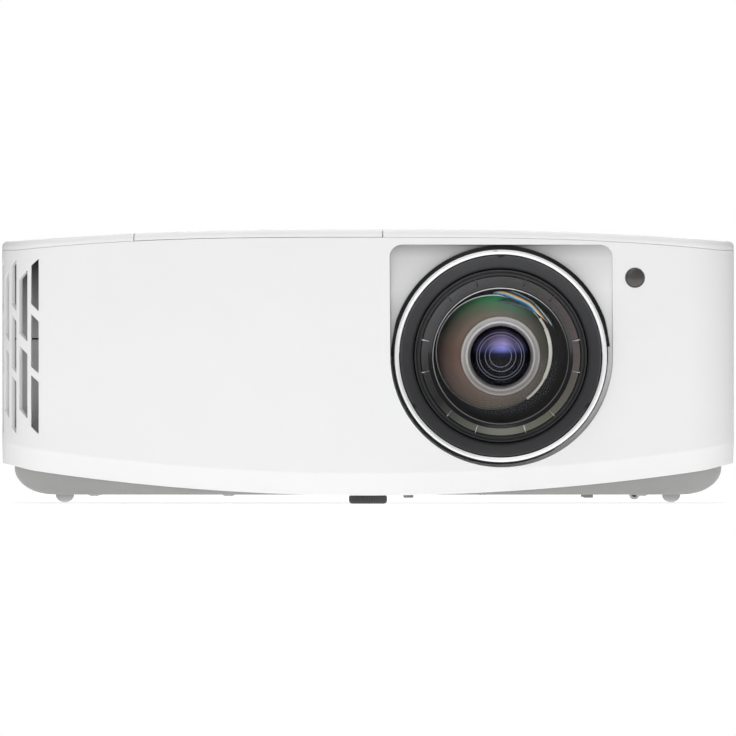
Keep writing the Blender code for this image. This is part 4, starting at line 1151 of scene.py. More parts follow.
def recess_painted_shade_material():
    """The recess's pale floor, with painted shade that makes it a little darker close under its top edge."""
    # Painted shade: darker in the last strip under the top edge
    stops = [(0.0, (0.88, 0.88, 0.882)), (0.60, (0.87, 0.87, 0.872)), (0.88, (0.72, 0.72, 0.722)),
             (1.0, (0.45, 0.45, 0.452))]
    material, shader = painted_shade_height_material("white_recess_painted_shade", LENS_Z, RECESS_TOP, stops, (38, 0.985), 2600, 3.0, 0.1)
    shader.inputs["Specular IOR Level"].default_value = 0.3
    return material


def painted_light_angled_material(name, stops, metallic=0.0):
    """A ring's colour by the angle about the lens, which paints light and shade, from the left (0) down
    through the foot (0.25).
    """
    material, tree, shader, coords = new_material(name)
    _, angle = polar(tree, coords, LENS_AXIS)
    tone = ramp(tree, angle, "Value", stops)
    link(tree, tone, "Color", shader, "Base Color")
    uneven_gloss(tree, coords, shader, 260, -0.6, 2.4, 3)
    shader.inputs["Metallic"].default_value = metallic
    return material


def painted_light_segment_material():
    """The retaining ring's slope with painted reflections: brown and olive light at the right and the foot,
    dark elsewhere.
    """
    return painted_light_angled_material("lens_segments_painted_light", [
        (0.00, (0.050, 0.050, 0.052)), (0.10, (0.030, 0.030, 0.030)), (0.17, (0.110, 0.120, 0.095)),
        (0.25, (0.170, 0.180, 0.145)), (0.36, (0.150, 0.145, 0.110)), (0.42, (0.130, 0.125, 0.105)),
        (0.49, (0.110, 0.090, 0.085)), (0.56, (0.060, 0.042, 0.042)), (0.70, (0.035, 0.033, 0.033)),
        (0.84, (0.045, 0.046, 0.050)), (1.00, (0.050, 0.050, 0.052)),
    ])


def painted_highlight_edge_material():
    """A thin edge with a painted highlight: brightest at the top, painted dim at the right and the foot."""
    return painted_light_angled_material("lens_edge_painted_highlight", [
        (0.00, (0.34, 0.34, 0.35)), (0.10, (0.16, 0.16, 0.16)), (0.25, (0.13, 0.13, 0.13)),
        (0.42, (0.10, 0.10, 0.10)), (0.52, (0.07, 0.07, 0.07)), (0.62, (0.30, 0.29, 0.30)),
        (0.72, (0.78, 0.78, 0.76)), (0.80, (0.72, 0.72, 0.72)), (0.90, (0.42, 0.42, 0.43)),
        (1.00, (0.34, 0.34, 0.35)),
    ], 0.3)


# Metal with painted highlights and painted shade
SILVER_PAINTED_HIGHLIGHT = painted_highlight_silver_material()
# Thin edges with a painted highlight at the top
LENS_EDGE_PAINTED_HIGHLIGHT = painted_highlight_edge_material()


def make_bezel():
    """The white recess: a wall that follows the front, a flat floor, and a round hole."""
    outline = recess_outline(0.25 * MM)
    centre = Vector((LENS_X, LENS_Z))

    def ring(inset, depth):
        return [Vector((x, depth(x), z)) for x, z in recess_outline(inset * MM)]

    def circle(radius, y):
        points = []
        for x, z in outline:
            way = (Vector((x, z)) - centre).normalized() * radius * MM
            points.append(Vector((LENS_X + way.x, y, LENS_Z + way.y)))
        return points

    def wall_foot(x):
        return max(front_y(x) + 1.0 * MM, -126.2 * MM)

    def floor_ring(reach, fall):
        points = []
        for x, z in recess_outline(0.02 * MM):
            way = Vector((x, z)) - centre
            inward = min(reach * MM, max(way.length - 46.95 * MM, 0))
            spot = centre + way.normalized() * (way.length - inward)
            foot = wall_foot(x)
            points.append(Vector((spot.x, foot + (-RECESS_FLOOR - foot) * fall, spot.y)))
        return points

    back = -122.4 * MM
    rings = [
        ring(-0.8, lambda x: back), ring(-0.8, lambda x: front_y(x) + 1.2 * MM),
        ring(0.02, lambda x: front_y(x) + 0.9 * MM), floor_ring(0.0, 0.0), floor_ring(0.12, 0.5),
        floor_ring(0.6, 0.86), floor_ring(1.6, 1.0), circle(46.85, -RECESS_FLOOR),
        circle(44.0, -RECESS_FLOOR), circle(44.0, back),
    ]
    piece("lens_bezel_cup", loft_mesh(rings), recess_painted_shade_material(), ("lens_bezel",), slot="white_shell")


def make_lens_surround():
    """The black shroud, widened in its upper half and at the lower left as painted shadow, and the bright
    ring inside it.
    """
    shroud = lens_mesh([(46.05, 130.6), (46.05, 124.85), (43.9, 124.85), (43.9, 126.2), (45.7, 126.2),
                        (45.7, 130.6)], rounding=0.2)
    # Painted shadow: the black band is widened across the upper half and at the lower left, where a shadow
    # gap lies round the ring
    sections = []
    for i in range(145):
        degrees = 5.0 + 295.0 * i / 144
        upper = min(max(math.sin(math.radians(degrees)) * 3, 0), 1)
        lower = min(max((300 - degrees) / 60, 0), 1) * 0.55
        wide = 46.35 + (1.1 if degrees < 181 else lower) * max(upper, 0.75 if degrees > 181 else 0.6)
        front = 127.4 if degrees < 181 else 129.2
        profile = ((wide, 124.9), (wide, front - 0.5), (wide - 0.2, front - 0.2), (45.9, front),
                   (45.9, 124.9))
        sections.append([lens_point(radius, degrees, ahead) for radius, ahead in profile])
    shroud = joined([shroud, band_mesh(sections)])
    piece("lens_shroud_body", shroud, BLACK_GLOSS, ("lens_shroud",), slot="black_plastic")

    ring = lens_mesh([(45.6, 131.15), (45.6, 126.65), (43.65, 126.65), (43.65, 130.9), (43.8, 131.1),
                      (44.7, 131.3)], rounding=0.12, steps=180)
    notch = arc_band(91.9, 94.1, 44.75, 46.2, 129.8, 132.0, 1.1, edge=0.05)
    piece("chrome_ring", cut(ring, notch), CHROME, ("chrome_trim_ring",), slot="chrome")


def make_focus_ring():
    """The dark conical ring that turns, with three small catches at its rim."""
    ring = lens_mesh([(43.3, 129.9), (43.3, 125.6), (41.2, 123.6), (41.2, 112.2), (37.5, 112.2),
                      (37.5, 121.3), (37.9, 121.9), (42.6, 129.9), (42.9, 130.15)], rounding=0.2, steps=180)
    notches = []
    for degrees in (90, 210, 330):
        notches.append(arc_band(degrees - 1.6, degrees + 1.6, 42.3, 44.0, 127.6, 131.0, 0.8, edge=0.05))
    ring = cut(ring, joined(notches))
    piece("focus_cone", ring, CONE_GREY, ("focus_ring",), body="focus", slot="matte_black")


def make_lens_group():
    """The moving barrel with its rings and glass."""
    barrel = lens_mesh([
        (37.0, 123.1), (37.0, 62.2), (30.0, 61.9), (30.0, 46.3), (27.0, 46.3), (27.0, 66.0),
        (32.2, 66.2), (32.2, 115.0), (34.5, 115.2), (34.5, 121.4), (34.9, 121.9), (35.5, 121.95),
        (35.6, 121.6), (35.9, 121.6), (36.0, 122.4), (36.4, 123.05),
    ])
    piece("lens_barrel_body", barrel, BLACK_SATIN, ("lens_barrel",), body="lens_group", slot="black_plastic")

    slope = lens_mesh([(34.15, 121.0), (34.15, 118.9), (31.2, 117.9), (31.2, 119.0), (31.5, 119.2),
                       (33.6, 120.9)])
    piece("retainer_slope", slope, painted_light_segment_material(), ("lens_retaining_ring",), body="lens_group",
          slot="black_plastic")
    lip = lens_mesh([(31.25, 118.9), (31.25, 117.75), (28.9, 117.3), (28.85, 117.8), (29.0, 118.0),
                     (29.35, 118.0), (29.6, 117.85)])
    piece("retainer_lip", lip, BLACK_GLOSS, body="lens_group", slot="black_plastic")
    edge = lens_mesh([(29.35, 118.12), (29.35, 117.9), (28.95, 117.9), (28.95, 118.12)], rounding=0.08)
    piece("retainer_edge", edge, LENS_EDGE_PAINTED_HIGHLIGHT, body="lens_group", slot="satin_metal")
    ticks = {"bright": [], "painted_shade": []}
    for sixth in range(6):
        for side in (-1, 1):
            degrees = sixth * 60 + side * 11.75
            # Painted shade: the ticks in the upper part are made black instead of steel
            shade = "painted_shade" if 30 < degrees < 160 else "bright"
            sections = []
            for radius, ahead in ((31.3, 119.1), (32.4, 120.05), (33.7, 121.15), (34.7, 121.45)):
                sections.append([lens_point(radius, degrees + turn, ahead + rise)
                                 for turn, rise in TICK_SHAPE])
            ticks[shade].append(band_mesh(sections))
    piece("retainer_ticks", joined(ticks["bright"]), STEEL, body="lens_group", slot="satin_metal")
    piece("retainer_ticks_painted_shade", joined(ticks["painted_shade"]), BLACK_GLOSS, body="lens_group", slot="black_plastic")

    glass = lens_mesh([
        (0.0, 116.8), (5.5, 116.68), (11.0, 116.3), (16.0, 115.7), (21.0, 114.7), (25.0, 113.7),
        (28.0, 112.6), (31.6, 111.0), (31.6, 109.0), (28.0, 110.6), (21.0, 112.9), (11.0, 114.6),
        (0.0, 115.2),
    ], closed=False)
    piece("front_element", glass, coated_glass("front_glass", (0.985, 0.985, 0.985), 1.13), ("front_glass",),
          body="lens_group", slot="lens_glass")

    count = 144
    dx, dz = ECCENTRIC.x / MM, ECCENTRIC.z / MM

    def ring(radius, ahead, share):
        return [lens_point(radius, 360 * i / count, ahead, (dx * share, dz * share)) for i in range(count)]

    film = loft_mesh([ring(17.3, 107.2, 0), ring(17.3, 108.4, 0), ring(19.5, 108.25, 0.35),
                      ring(22.0, 108.0, 0.75), ring(24.3, 107.6, 1), ring(24.3, 106.6, 1)])
    piece("inner_film_painted_reflection", film, painted_reflection_film_material(), body="lens_group", slot="lens_glass")
    rim = loft_mesh([ring(24.2, 107.5, 1), ring(24.35, 107.95, 1), ring(24.7, 108.0, 1),
                     ring(24.85, 107.5, 1)])
    piece("inner_rim", rim, LENS_EDGE_PAINTED_HIGHLIGHT, body="lens_group", slot="satin_metal")
    outer = loft_mesh([ring(24.75, 106.6, 1), ring(24.75, 107.75, 1), ring(27.0, 107.6, 0.6),
                       ring(29.5, 107.9, 0.2), ring(32.0, 108.6, 0), ring(32.0, 106.6, 0)])
    piece("inner_shade", outer, SHADE_BLACK, body="lens_group", slot="black_plastic")
    # Painted highlight: a pale crescent stands in for a bright reflection inside the rim
    crescent = []
    for start, end, wide in ((-54, -27, 1.6), (-27, 24, 2.2), (24, 36, 1.6)):
        inner, outer = 24.9 - wide * 0.45, 24.9 + wide * 0.25
        crescent.append(arc_band(start, end, inner, outer, 107.5, 108.35, 3, (dx, dz)))
    piece("inner_crescent_painted_highlight", joined(crescent), PAINTED_HIGHLIGHT_PEARL, body="lens_group", slot="satin_metal")

    silver = lens_mesh([
        (17.2, 108.0), (17.2, 106.2), (31.8, 95.2), (31.8, 93.2), (12.9, 93.2), (12.9, 105.2),
        (13.2, 105.9), (14.3, 107.1), (14.6, 107.5), (14.9, 107.9), (15.3, 107.8), (15.6, 108.2),
        (16.4, 108.6), (17.0, 108.5),
    ])
    piece("inner_silver_ring", silver, SILVER_PAINTED_HIGHLIGHT, ("inner_ring",), body="lens_group", slot="satin_metal")

    dome = lens_mesh([
        (0.0, 104.9), (1.2, 104.87), (2.6, 104.7), (4.55, 104.3), (4.62, 104.42), (4.85, 104.36),
        (4.9, 104.2), (6.4, 103.7), (7.6, 103.1), (8.85, 102.3), (8.95, 102.42), (9.25, 102.25),
        (9.3, 102.0), (10.6, 100.8), (11.6, 99.4), (12.3, 97.4), (12.3, 94.2), (0.0, 92.2),
    ], closed=False)
    piece("second_element", dome, painted_reflection_dome_material(), ("second_glass",), body="lens_group", slot="lens_glass")
    # Raised rings whose light violet colour is a painted reflection
    rings = [lens_mesh([(radius, ahead), (radius + 0.16, ahead + 0.06), (radius + 0.30, ahead - 0.04),
                        (radius + 0.14, ahead - 0.12)], steps=120)
             for radius, ahead in ((4.58, 104.45), (6.5, 103.76), (8.95, 102.46), (10.1, 101.4))]
    piece("element_rings", joined(rings), VIOLET_RING_PAINTED_REFLECTION, body="lens_group", slot="satin_metal")


def make_painted_rainbow_reflection():
    """Slivers of painted rainbow reflection at the upper right of the inner element."""
    dx, dz = ECCENTRIC.x / MM, ECCENTRIC.z / MM
    slivers = []
    for start, end, near, far, wide, ahead in SLIVERS:
        sections = []
        for i in range(25):
            t = i / 24
            degrees = start + (end - start) * t
            middle_radius = near + (far - near) * t
            half = wide * math.sin(math.pi * min(max(t, 0.02), 0.98)) ** 0.7
            sections.append([lens_point(middle_radius + side * half, degrees, ahead + rise, (dx, dz))
                             for side, rise in SLIVER_SHAPE])
        slivers.append(band_mesh(sections))
    piece("painted_rainbow_reflection", joined(slivers), painted_rainbow_reflection_material(), body="lens_group", slot="lens_glass")


def make_ir_window():
    """The round infrared window and its rim, square to the front."""
    low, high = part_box("ir_window")
    radius = (high[2] - low[2]) / 2
    tilt = Matrix.Rotation(math.asin(IR_WINDOW.x / FRONT_ARC), 4, "Z")
    aim = tilt @ FRONTWARD
    origin = Vector((IR_WINDOW.x, front_y(IR_WINDOW.x), IR_WINDOW.z))
    profile = mm((0, 0.75), (1.5, 0.70), (2.8, 0.52), (3.5, 0.28), (3.95, -0.1), (4.1, -0.5), (4.1, -3.0),
                 (0, -3.0))
    points = [(min(reach, radius), rise) for reach, rise in profile]
    window = turned_mesh(points, origin, aim, 72, closed=False)
    piece("ir_window_lens", window, IR_DARK, ("ir_window",), slot="ir_window")
    profile = mm((4.05, -0.15), (4.2, 0.02), (4.38, 0.02), (4.38, -1.2), (4.05, -1.2))
    rim = turned_mesh(profile, origin, aim, 72)
    piece("ir_window_rim", rim, PRINT_GREY, slot="ir_window")


def make_lens():
    """Everything in and round the lens recess."""
    make_bezel()
    make_lens_surround()
    make_focus_ring()
    make_lens_group()
    make_painted_rainbow_reflection()
    make_ir_window()
# ---------------------------------------------------------------- base tray, feet and security bar

TRAY_INSET = 5.4 * MM
TRAY_CORNER, TRAY_REAR_CORNER = 20.6 * MM, 8.6 * MM
TRAY_ROUND_TOP = 15.5 * MM
TRAY_ROUND_WIDE = 17 * MM
TRAY_ROUND_FRONT = 2 * MM
TRAY_WALL = 2 * MM
TRAY_FLOOR = 3.9 * MM
LENS_CLEARANCE = 49.1
SECURITY = middle("security_bar")
BOSSES = mm(*((x, y) for x in (17.5, 95) for y in (-60, 75)))
FEET = ("front_foot", "rear_foot_left", "rear_foot_right")
TRAY_SCREWS = mm((-118, -70), (118, -70), (-60, -98), (-60, 112), (50, 112), (-118, 60))
# Left edges of the vent slots' columns; then the number of rows, the first row and the step, in millimetres
SLOT_COLUMNS = (-112, -88, -64, -40)
SLOT_ROWS, SLOT_START, SLOT_STEP = 12, -66, 5.2
SLOT_LENGTH, SLOT_WIDTH = 20, 2.4


def plan_outline(side, front, rear, corner, rear_corner):
    """A plan outline with its own inset on each side, counter-clockwise from the front middle."""
    arc_radius = FRONT_ARC - front
    corner_x = HALF_X - side - corner
    corner_y = ARC_CENTRE_Y - math.sqrt((arc_radius - corner) ** 2 - corner_x ** 2)
    meet = math.atan2(corner_x, ARC_CENTRE_Y - corner_y)
    right = []
    for i in range(16):
        angle = meet * i / 16
        right.append((arc_radius * math.sin(angle), ARC_CENTRE_Y - arc_radius * math.cos(angle)))
    for i in range(15):
        angle = meet + (math.pi / 2 - meet) * i / 14
        right.append((corner_x + corner * math.sin(angle), corner_y - corner * math.cos(angle)))
    rear_x = HALF_X - side - rear_corner
    rear_y = REAR_Y - rear - rear_corner
    for i in range(1, 8):
        right.append((corner_x + corner, corner_y + (rear_y - corner_y) * i / 8))
    right += arc_points((rear_x, rear_y), rear_corner, 0, 90, 10)
    for i in range(1, 13):
        right.append((rear_x * (1 - i / 12), REAR_Y - rear))
    return right + [(-x, y) for x, y in reversed(right[1:-1])]


def pan_rings(wall, floor, wide, narrow, steps=12):
    """Rings of the tray's surface from its rim down to its floor."""
    inset = TRAY_INSET + wall
    corners = TRAY_CORNER - wall, TRAY_REAR_CORNER - wall
    rings = [[(x, y, TRAY_TOP) for x, y in plan_outline(inset, inset, inset, *corners)]]
    for i in range(steps + 1):
        angle = math.pi / 2 * i / steps
        side = inset + wide * (1 - math.cos(angle))
        front = inset + narrow * (1 - math.cos(angle))
        z = TRAY_ROUND_TOP - (TRAY_ROUND_TOP - floor) * math.sin(angle)
        rings.append([(x, y, z) for x, y in plan_outline(side, front, front, *corners)])
    return rings


def pan_mesh():
    """The tray as an open pan with a rounded lower edge."""
    outer = pan_rings(0, TRAY_FLOOR, TRAY_ROUND_WIDE, TRAY_ROUND_FRONT)
    inner = pan_rings(TRAY_WALL, TRAY_FLOOR + TRAY_WALL, TRAY_ROUND_WIDE - TRAY_WALL, 0.5 * MM)
    return band_mesh(outer[::-1] + inner)


def slot_mesh(low, high, radius):
    """A rounded slot cutter through the tray's floor."""
    mesh = sheet_mesh([rounded_rectangle(low, high, radius, 4)], 12 * MM, 0.05 * MM, 1)
    return placed(mesh, Matrix.Translation((0, 0, 4 * MM)))


def groove_mesh(low, high):
    """A shallow cutter that runs round a rectangle on the underside, in millimetres."""
    outer = rounded_rectangle(*mm(low, high), 4 * MM)
    inner = rounded_rectangle(*mm((low[0] + 1, low[1] + 1), (high[0] - 1, high[1] - 1)), 3.2 * MM)
    return placed(sheet_mesh([outer, inner], 1.2 * MM, 0.05 * MM, 1), Matrix.Translation((0, 0, TRAY_FLOOR)))


def tray_cutters():
    """Foot recesses, vent slots, screw seats, the security slot, room for the lens, and grooves."""
    tools = []
    for foot in FEET:
        low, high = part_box(f"{foot}_stud")
        place = middle(f"{foot}_stud")
        radius = (high[0] - low[0]) / 2 + 0.3 * MM
        tools.append(turned_mesh([(0, 1 * MM), (radius, 1 * MM), (radius, 9 * MM), (0, 9 * MM)],
                                 (place.x, place.y, 0), closed=False, steps=48))
    for x in SLOT_COLUMNS:
        for row in range(SLOT_ROWS):
            y = SLOT_START + row * SLOT_STEP
            tools.append(slot_mesh(*mm((x, y), (x + SLOT_LENGTH, y + SLOT_WIDTH)), 1.2 * MM))
    seat = mm((0, 0), (4.2, 0), (4.0, 5.0), (0, 5.0))
    for x, y in TRAY_SCREWS:
        tools.append(turned_mesh(seat, (x, y, 0), closed=False, steps=40))
    reach = Vector((5 * MM, 6.4 * MM))
    tools.append(slot_mesh(SECURITY.xy - reach, SECURITY.xy + reach, 1 * MM))
    room = mm((0, 115), (LENS_CLEARANCE, 115), (LENS_CLEARANCE, 150), (0, 150))
    tools.append(turned_mesh(room, LENS_AXIS, FRONTWARD, 120, closed=False))
    tools.append(groove_mesh((-14, -46), (56, 20)))
    tools.append(groove_mesh((-14, 30), (56, 88)))
    return tools


def make_tray():
    """The grey tray with its slots, mounting bosses, screws and blank plate."""
    tray = cut(pan_mesh(), joined(tray_cutters()))
    piece("base_tray_pan", tray, BASE_GREY, ("base_tray",), slot="base_grey")

    bosses, inserts = [], []
    for x, y in BOSSES:
        profile = mm((2.15, 2.4), (2.15, 10), (1.35, 10), (1.35, 2.4))
        bosses.append(turned_mesh(rounded(profile, 0.2 * MM), (x, y, 0), steps=40))
        profile = mm((1.35, 2.9), (1.35, 9), (1.15, 9), (1.15, 2.9))
        inserts.append(turned_mesh(rounded(profile, 0.08 * MM), (x, y, 0), steps=32))
    piece("mount_bosses", joined(bosses), BASE_GREY, slot="base_grey")
    piece("mount_inserts", joined(inserts), GOLD, slot="satin_metal")
    screws = [cross_screw((x, y, 4.9 * MM), 3.2 * MM, DOWNWARD) for x, y in TRAY_SCREWS]
    piece("tray_screws", joined(screws), STEEL, slot="satin_metal")
    plate = sheet_mesh([rounded_rectangle(*mm((-9, 36), (51, 82)), 2 * MM)], 0.5 * MM, 0.1 * MM)
    piece("blank_plate", placed(plate, Matrix.Translation((0, 0, 3.85 * MM))), PANEL_GREY, slot="light_grey")


def cross_screw(place, radius, aim=UPWARD):
    """A pan head screw with a cross recess, facing local +Z."""
    shape = ((0, 1.3), (0.35, 1.28), (0.62, 1.12), (0.85, 0.78), (0.97, 0.35), (1.0, 0.0), (1.0, -0.4),
             (0, -0.4))
    profile = [(r * radius, h * radius * 0.45) for r, h in shape]
    head = turned_mesh(profile, (0, 0, 0), closed=False, steps=40)
    arm, half, deep = radius * 0.58, radius * 0.13, radius * 0.42
    top = radius * 0.6
    tools = [box_mesh((-arm, -half, top - deep), (arm, half, top + deep), 0),
             box_mesh((-half, -arm, top - deep), (half, arm, top + deep), 0)]
    return placed(cut(head, *tools), Matrix.Translation(place) @ aim)


def knurled_pad(centre, radius, bore, steps=288, ridges=48):
    """The front foot's pad: a knurled rim round a flat sole with a shallow ring in it."""
    def ring(reach, height, ridge=0.0):
        points = []
        for i in range(steps):
            angle = math.tau * i / steps
            groove = 0.42 * MM * ridge * (0.5 - 0.5 * math.cos(angle * ridges)) ** 2
            r = reach - groove
            x, y = centre.x + r * math.cos(angle), centre.y + r * math.sin(angle)
            points.append(Vector((x, y, height * MM)))
        return points

    # Inset from the rim, height and depth of the knurling, then the radii and heights of the sole
    rim = ((1.30, 0.0, 0.0), (0.55, 0.25, 0.3), (0.15, 0.75, 1.0), (0.0, 1.4, 1.0), (0.0, 3.0, 1.0),
           (0.15, 3.4, 0.4), (0.5, 3.6, 0.0))
    sole = ((0.4, 1.2), (0.4, 0.4), (2.0, 0.4), (2.3, 0.0), (4.6, 0.0), (4.8, 0.3), (5.4, 0.3), (5.6, 0.0))
    rings = [ring(radius - inset * MM, height, ridge) for inset, height, ridge in rim]
    rings += [ring(bore, 3.6), ring(bore, 1.2)]
    return loft_mesh(rings + [ring(reach * MM, height) for reach, height in sole])


def ball_pad(centre, radius, bore):
    """A rear foot's ball end."""
    top = 3.55 * MM
    profile = [(0, 1.2 * MM), (bore, 1.2 * MM), (bore, top), (radius * 0.93, top), (radius, 3.35 * MM)]
    for i in range(13):
        angle = math.radians(90 * i / 12)
        reach = radius * math.cos(angle) ** 0.9 if i < 12 else 0
        profile.append((reach, 3.1 * MM * (1 - math.sin(angle))))
    return turned_mesh(profile, (centre.x, centre.y, 0), closed=False, steps=72)


def thread_mesh(centre, low, high, radius, pitch=1.25 * MM):
    """A threaded stud between two heights."""
    root = radius * 0.84
    height = low + 0.4 * MM
    profile = [(0, low), (radius * 0.8, low)]
    while height < high - pitch:
        profile += [(root, height), (radius, height + pitch * 0.4), (radius, height + pitch * 0.55)]
        height += pitch
    profile += [(root, height), (radius * 0.8, high), (0, high)]
    return turned_mesh(profile, (centre.x, centre.y, 0), closed=False, steps=40)


def make_feet():
    """The front foot's knurled pad and the rear feet's balls, each on its stud."""
    for foot in FEET:
        low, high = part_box(f"{foot}_pad")
        centre = middle(f"{foot}_pad")
        radius = (high[0] - low[0]) / 2
        stud_low, stud_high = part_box(f"{foot}_stud")
        stud_radius = (stud_high[0] - stud_low[0]) / 2
        bore = stud_radius + 0.15 * MM
        pad_mesh, material, slot = ball_pad, FOOT_GREY, "light_grey"
        if foot == "front_foot":
            pad_mesh, material, slot = knurled_pad, RUBBER, "rubber"
        pad, stud = f"{foot}_pad", f"{foot}_stud"
        piece(f"{pad}_body", pad_mesh(centre, radius, bore), material, (pad,), body=pad, slot=slot)
        thread = thread_mesh(centre, stud_low[2], stud_high[2], stud_radius)
        piece(f"{stud}_thread", thread, STEEL, (stud,), body=stud, slot="satin_metal")


def tube_mesh(points, radius, sides=20):
    """A round bar along points in a plane of constant Y."""
    sections = []
    across = Vector((0, 1, 0))
    for i, point in enumerate(points):
        before = points[max(i - 1, 0)]
        after = points[min(i + 1, len(points) - 1)]
        up = (after - before).normalized().cross(across).normalized()
        sections.append([point + (across * math.cos(a) + up * math.sin(a)) * radius
                         for a in (math.tau * k / sides for k in range(sides))])
    return band_mesh(sections)


def bent(corners, radius, steps=8):
    """Corner points with a short bend in place of each inner corner."""
    points = [Vector(corners[0])]
    for before, corner, after in zip(corners, corners[1:], corners[2:]):
        corner = Vector(corner)
        start = corner + (Vector(before) - corner).normalized() * radius
        end = corner + (Vector(after) - corner).normalized() * radius
        points += [bend_point(start, corner, end, i / steps) for i in range(steps + 1)]
    return points + [Vector(corners[-1])]


def make_security_bar():
    """A bent steel bar that hangs under the tray."""
    low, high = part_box("security_bar")
    radius, half = 1.0 * MM, 1.3 * MM
    top, foot = high[2] - radius, low[2] + radius
    route = ((low[0], top), (SECURITY.x - half, top), (SECURITY.x - half, foot), (SECURITY.x + half, foot),
             (SECURITY.x + half, top), (high[0], top))
    bar = tube_mesh(bent([(x, SECURITY.y, z) for x, z in route], 1.25 * MM), radius)
    piece("security_staple", bar, STEEL, ("security_bar",), slot="satin_metal")


# ---------------------------------------------------------------- rear panel and connectors

PORT_BOXES = {name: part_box(name) for name in ("hdmi_port_1", "hdmi_port_2", "usb_port", "serial_port",
                                              "audio_jack_block", "mains_inlet")}
HDMI_SHAPE = ((-6.95, 2.2), (6.95, 2.2), (6.95, -0.4), (5.3, -2.2), (-5.3, -2.2), (-6.95, -0.4))
SERIAL_SHAPE = ((-8.9, 4.2), (8.9, 4.2), (7.6, -4.2), (-7.6, -4.2))
INLET_SHAPE = ((-12, -8.25), (12, -8.25), (12, 3.2), (8.2, 8.25), (-8.2, 8.25), (-12, 3.2))
JACKS = ((92 * MM, JACK_BLUE), (79 * MM, JACK_GREEN), (66 * MM, JACK_PINK))
SLOT_COUNT = 9
PANEL_SCREWS = mm((-118, 28), (-118, 94), (104, 28), (104, 94), (-8, 94), (-8, 28))
# Left, bottom, right and top of the raised frames round groups of connectors, in millimetres
PORT_FRAMES = ((56, 30, 102, 50), (56, 56, 102, 76), (-6, 30, 30, 50), (-116, 30, -80, 60))


def upright(outlines, thickness, y, bevel=0.15 * MM):
    """A plate that stands in the XZ plane, with its middle at some Y."""
    mesh = sheet_mesh(outlines, thickness, bevel)
    return placed(mesh, Matrix.Translation((0, y, 0)) @ FRONTWARD)


def shifted(points, x, z):
    """Points in millimetres about a place on the panel, in metres."""
    return [(x + px * MM, z + pz * MM) for px, pz in points]


def face_outline(box, radius, spare=0.0):
    """The rounded outline of a box as seen from behind."""
    low, high = box
    return rounded_rectangle((low[0] - spare, low[2] - spare), (high[0] + spare, high[2] + spare), radius)


def port(name):
    """A connector's middle X and Z, and its rear face's Y."""
    low, high = PORT_BOXES[name]
    return (low[0] + high[0]) / 2, (low[2] + high[2]) / 2, high[1]


def make_rear_panel():
    """The panel with its openings and slots, its screws, the connectors' frames and the receiver."""
    outlines = [face_outline((PANEL_LOW, PANEL_HIGH), 3 * MM)]
    for box in PORT_BOXES.values():
        outlines.append(face_outline(box, 0.6 * MM, 0.25 * MM))
    for row in range(SLOT_COUNT):
        z = 30 + row * 6.6
        for x in (-70, -50, -30):
            outlines.append(rounded_rectangle(*mm((x, z), (x + 16, z + 3)), 1.4 * MM, 4))
    outlines.append(rounded_rectangle(*mm((-16, 64), (-9, 67.2)), 1.2 * MM))
    rear = PANEL_HIGH[1]
    plate = upright(outlines, rear - PANEL_LOW[1], (PANEL_LOW[1] + rear) / 2, 0.25 * MM)
    piece("rear_panel_plate", plate, PANEL_GREY, ("rear_panel",), slot="light_grey")

    screws = [cross_screw((x, rear, z), 2.4 * MM, REARWARD) for x, z in PANEL_SCREWS]
    piece("rear_panel_screws", joined(screws), STEEL, slot="satin_metal")
    frames = []
    for left, bottom, right, top in PORT_FRAMES:
        outer = rounded_rectangle(*mm((left, bottom), (right, top)), 2.5 * MM)
        inner = rounded_rectangle(*mm((left + 0.7, bottom + 0.7), (right - 0.7, top - 0.7)), 1.9 * MM)
        frames.append(upright([outer, inner], 0.5 * MM, rear + 0.1 * MM, 0.1 * MM))
    piece("port_frames", joined(frames), BASE_GREY, slot="light_grey")
    profile = mm((0, 0.5), (2.2, 0.4), (3.2, 0.1), (3.5, -0.3), (3.5, -1), (0, -1))
    receiver = turned_mesh(profile, (20 * MM, rear, 84 * MM), REARWARD, 48, closed=False)
    piece("rear_receiver", receiver, IR_DARK, slot="ir_window")


def socket_shell(name, outline, wall_radius, depth):
    """A connector's metal shell: an outer block with a shaped socket and a closed back."""
    low, high = PORT_BOXES[name]
    wall_outline = face_outline((low, high), wall_radius)
    rear = high[1]
    tube = upright([wall_outline, outline], depth, rear - depth / 2, 0.12 * MM)
    back_thick = rear - depth - low[1]
    back = upright([wall_outline], back_thick + 0.1 * MM, low[1] + back_thick / 2 + 0.05 * MM, 0.1 * MM)
    return joined([tube, back])


def contact_row(x, z, count, pitch, width, y_low, y_high):
    """A row of flat contacts."""
    contacts = []
    for i in range(count):
        cx = x + (i - (count - 1) / 2) * pitch
        low, high = (cx - width / 2, y_low, z), (cx + width / 2, y_high, z + 0.15 * MM)
        contacts.append(box_mesh(low, high, 0.03 * MM, 1))
    return joined(contacts)


def tongue_mesh(x, z, rear, half_width, spans):
    """The plastic tongue in a socket, from (deep, shallow, bottom, top) in millimetres."""
    deep, shallow, bottom, top = spans
    return box_mesh((x - half_width * MM, rear - deep * MM, z + bottom * MM),
                    (x + half_width * MM, rear - shallow * MM, z + top * MM))


def make_hdmi(name):
    """One HDMI socket."""
    x, z, rear = port(name)
    shell = socket_shell(name, rounded(shifted(HDMI_SHAPE, x, z), 0.4 * MM), 0.5 * MM, 11 * MM)
    piece(f"{name}_shell", shell, STEEL, (name,), slot="satin_metal")
    tongue = tongue_mesh(x, z, rear, 5.6, (10.8, 1.6, -0.1, 1.0))
    piece(f"{name}_tongue", tongue, BLACK_SATIN, slot="black_plastic")
    contacts = contact_row(x, z - 0.18 * MM, 10, 1.0 * MM, 0.5 * MM, rear - 9 * MM, rear - 2 * MM)
    piece(f"{name}_contacts", contacts, GOLD, slot="satin_metal")


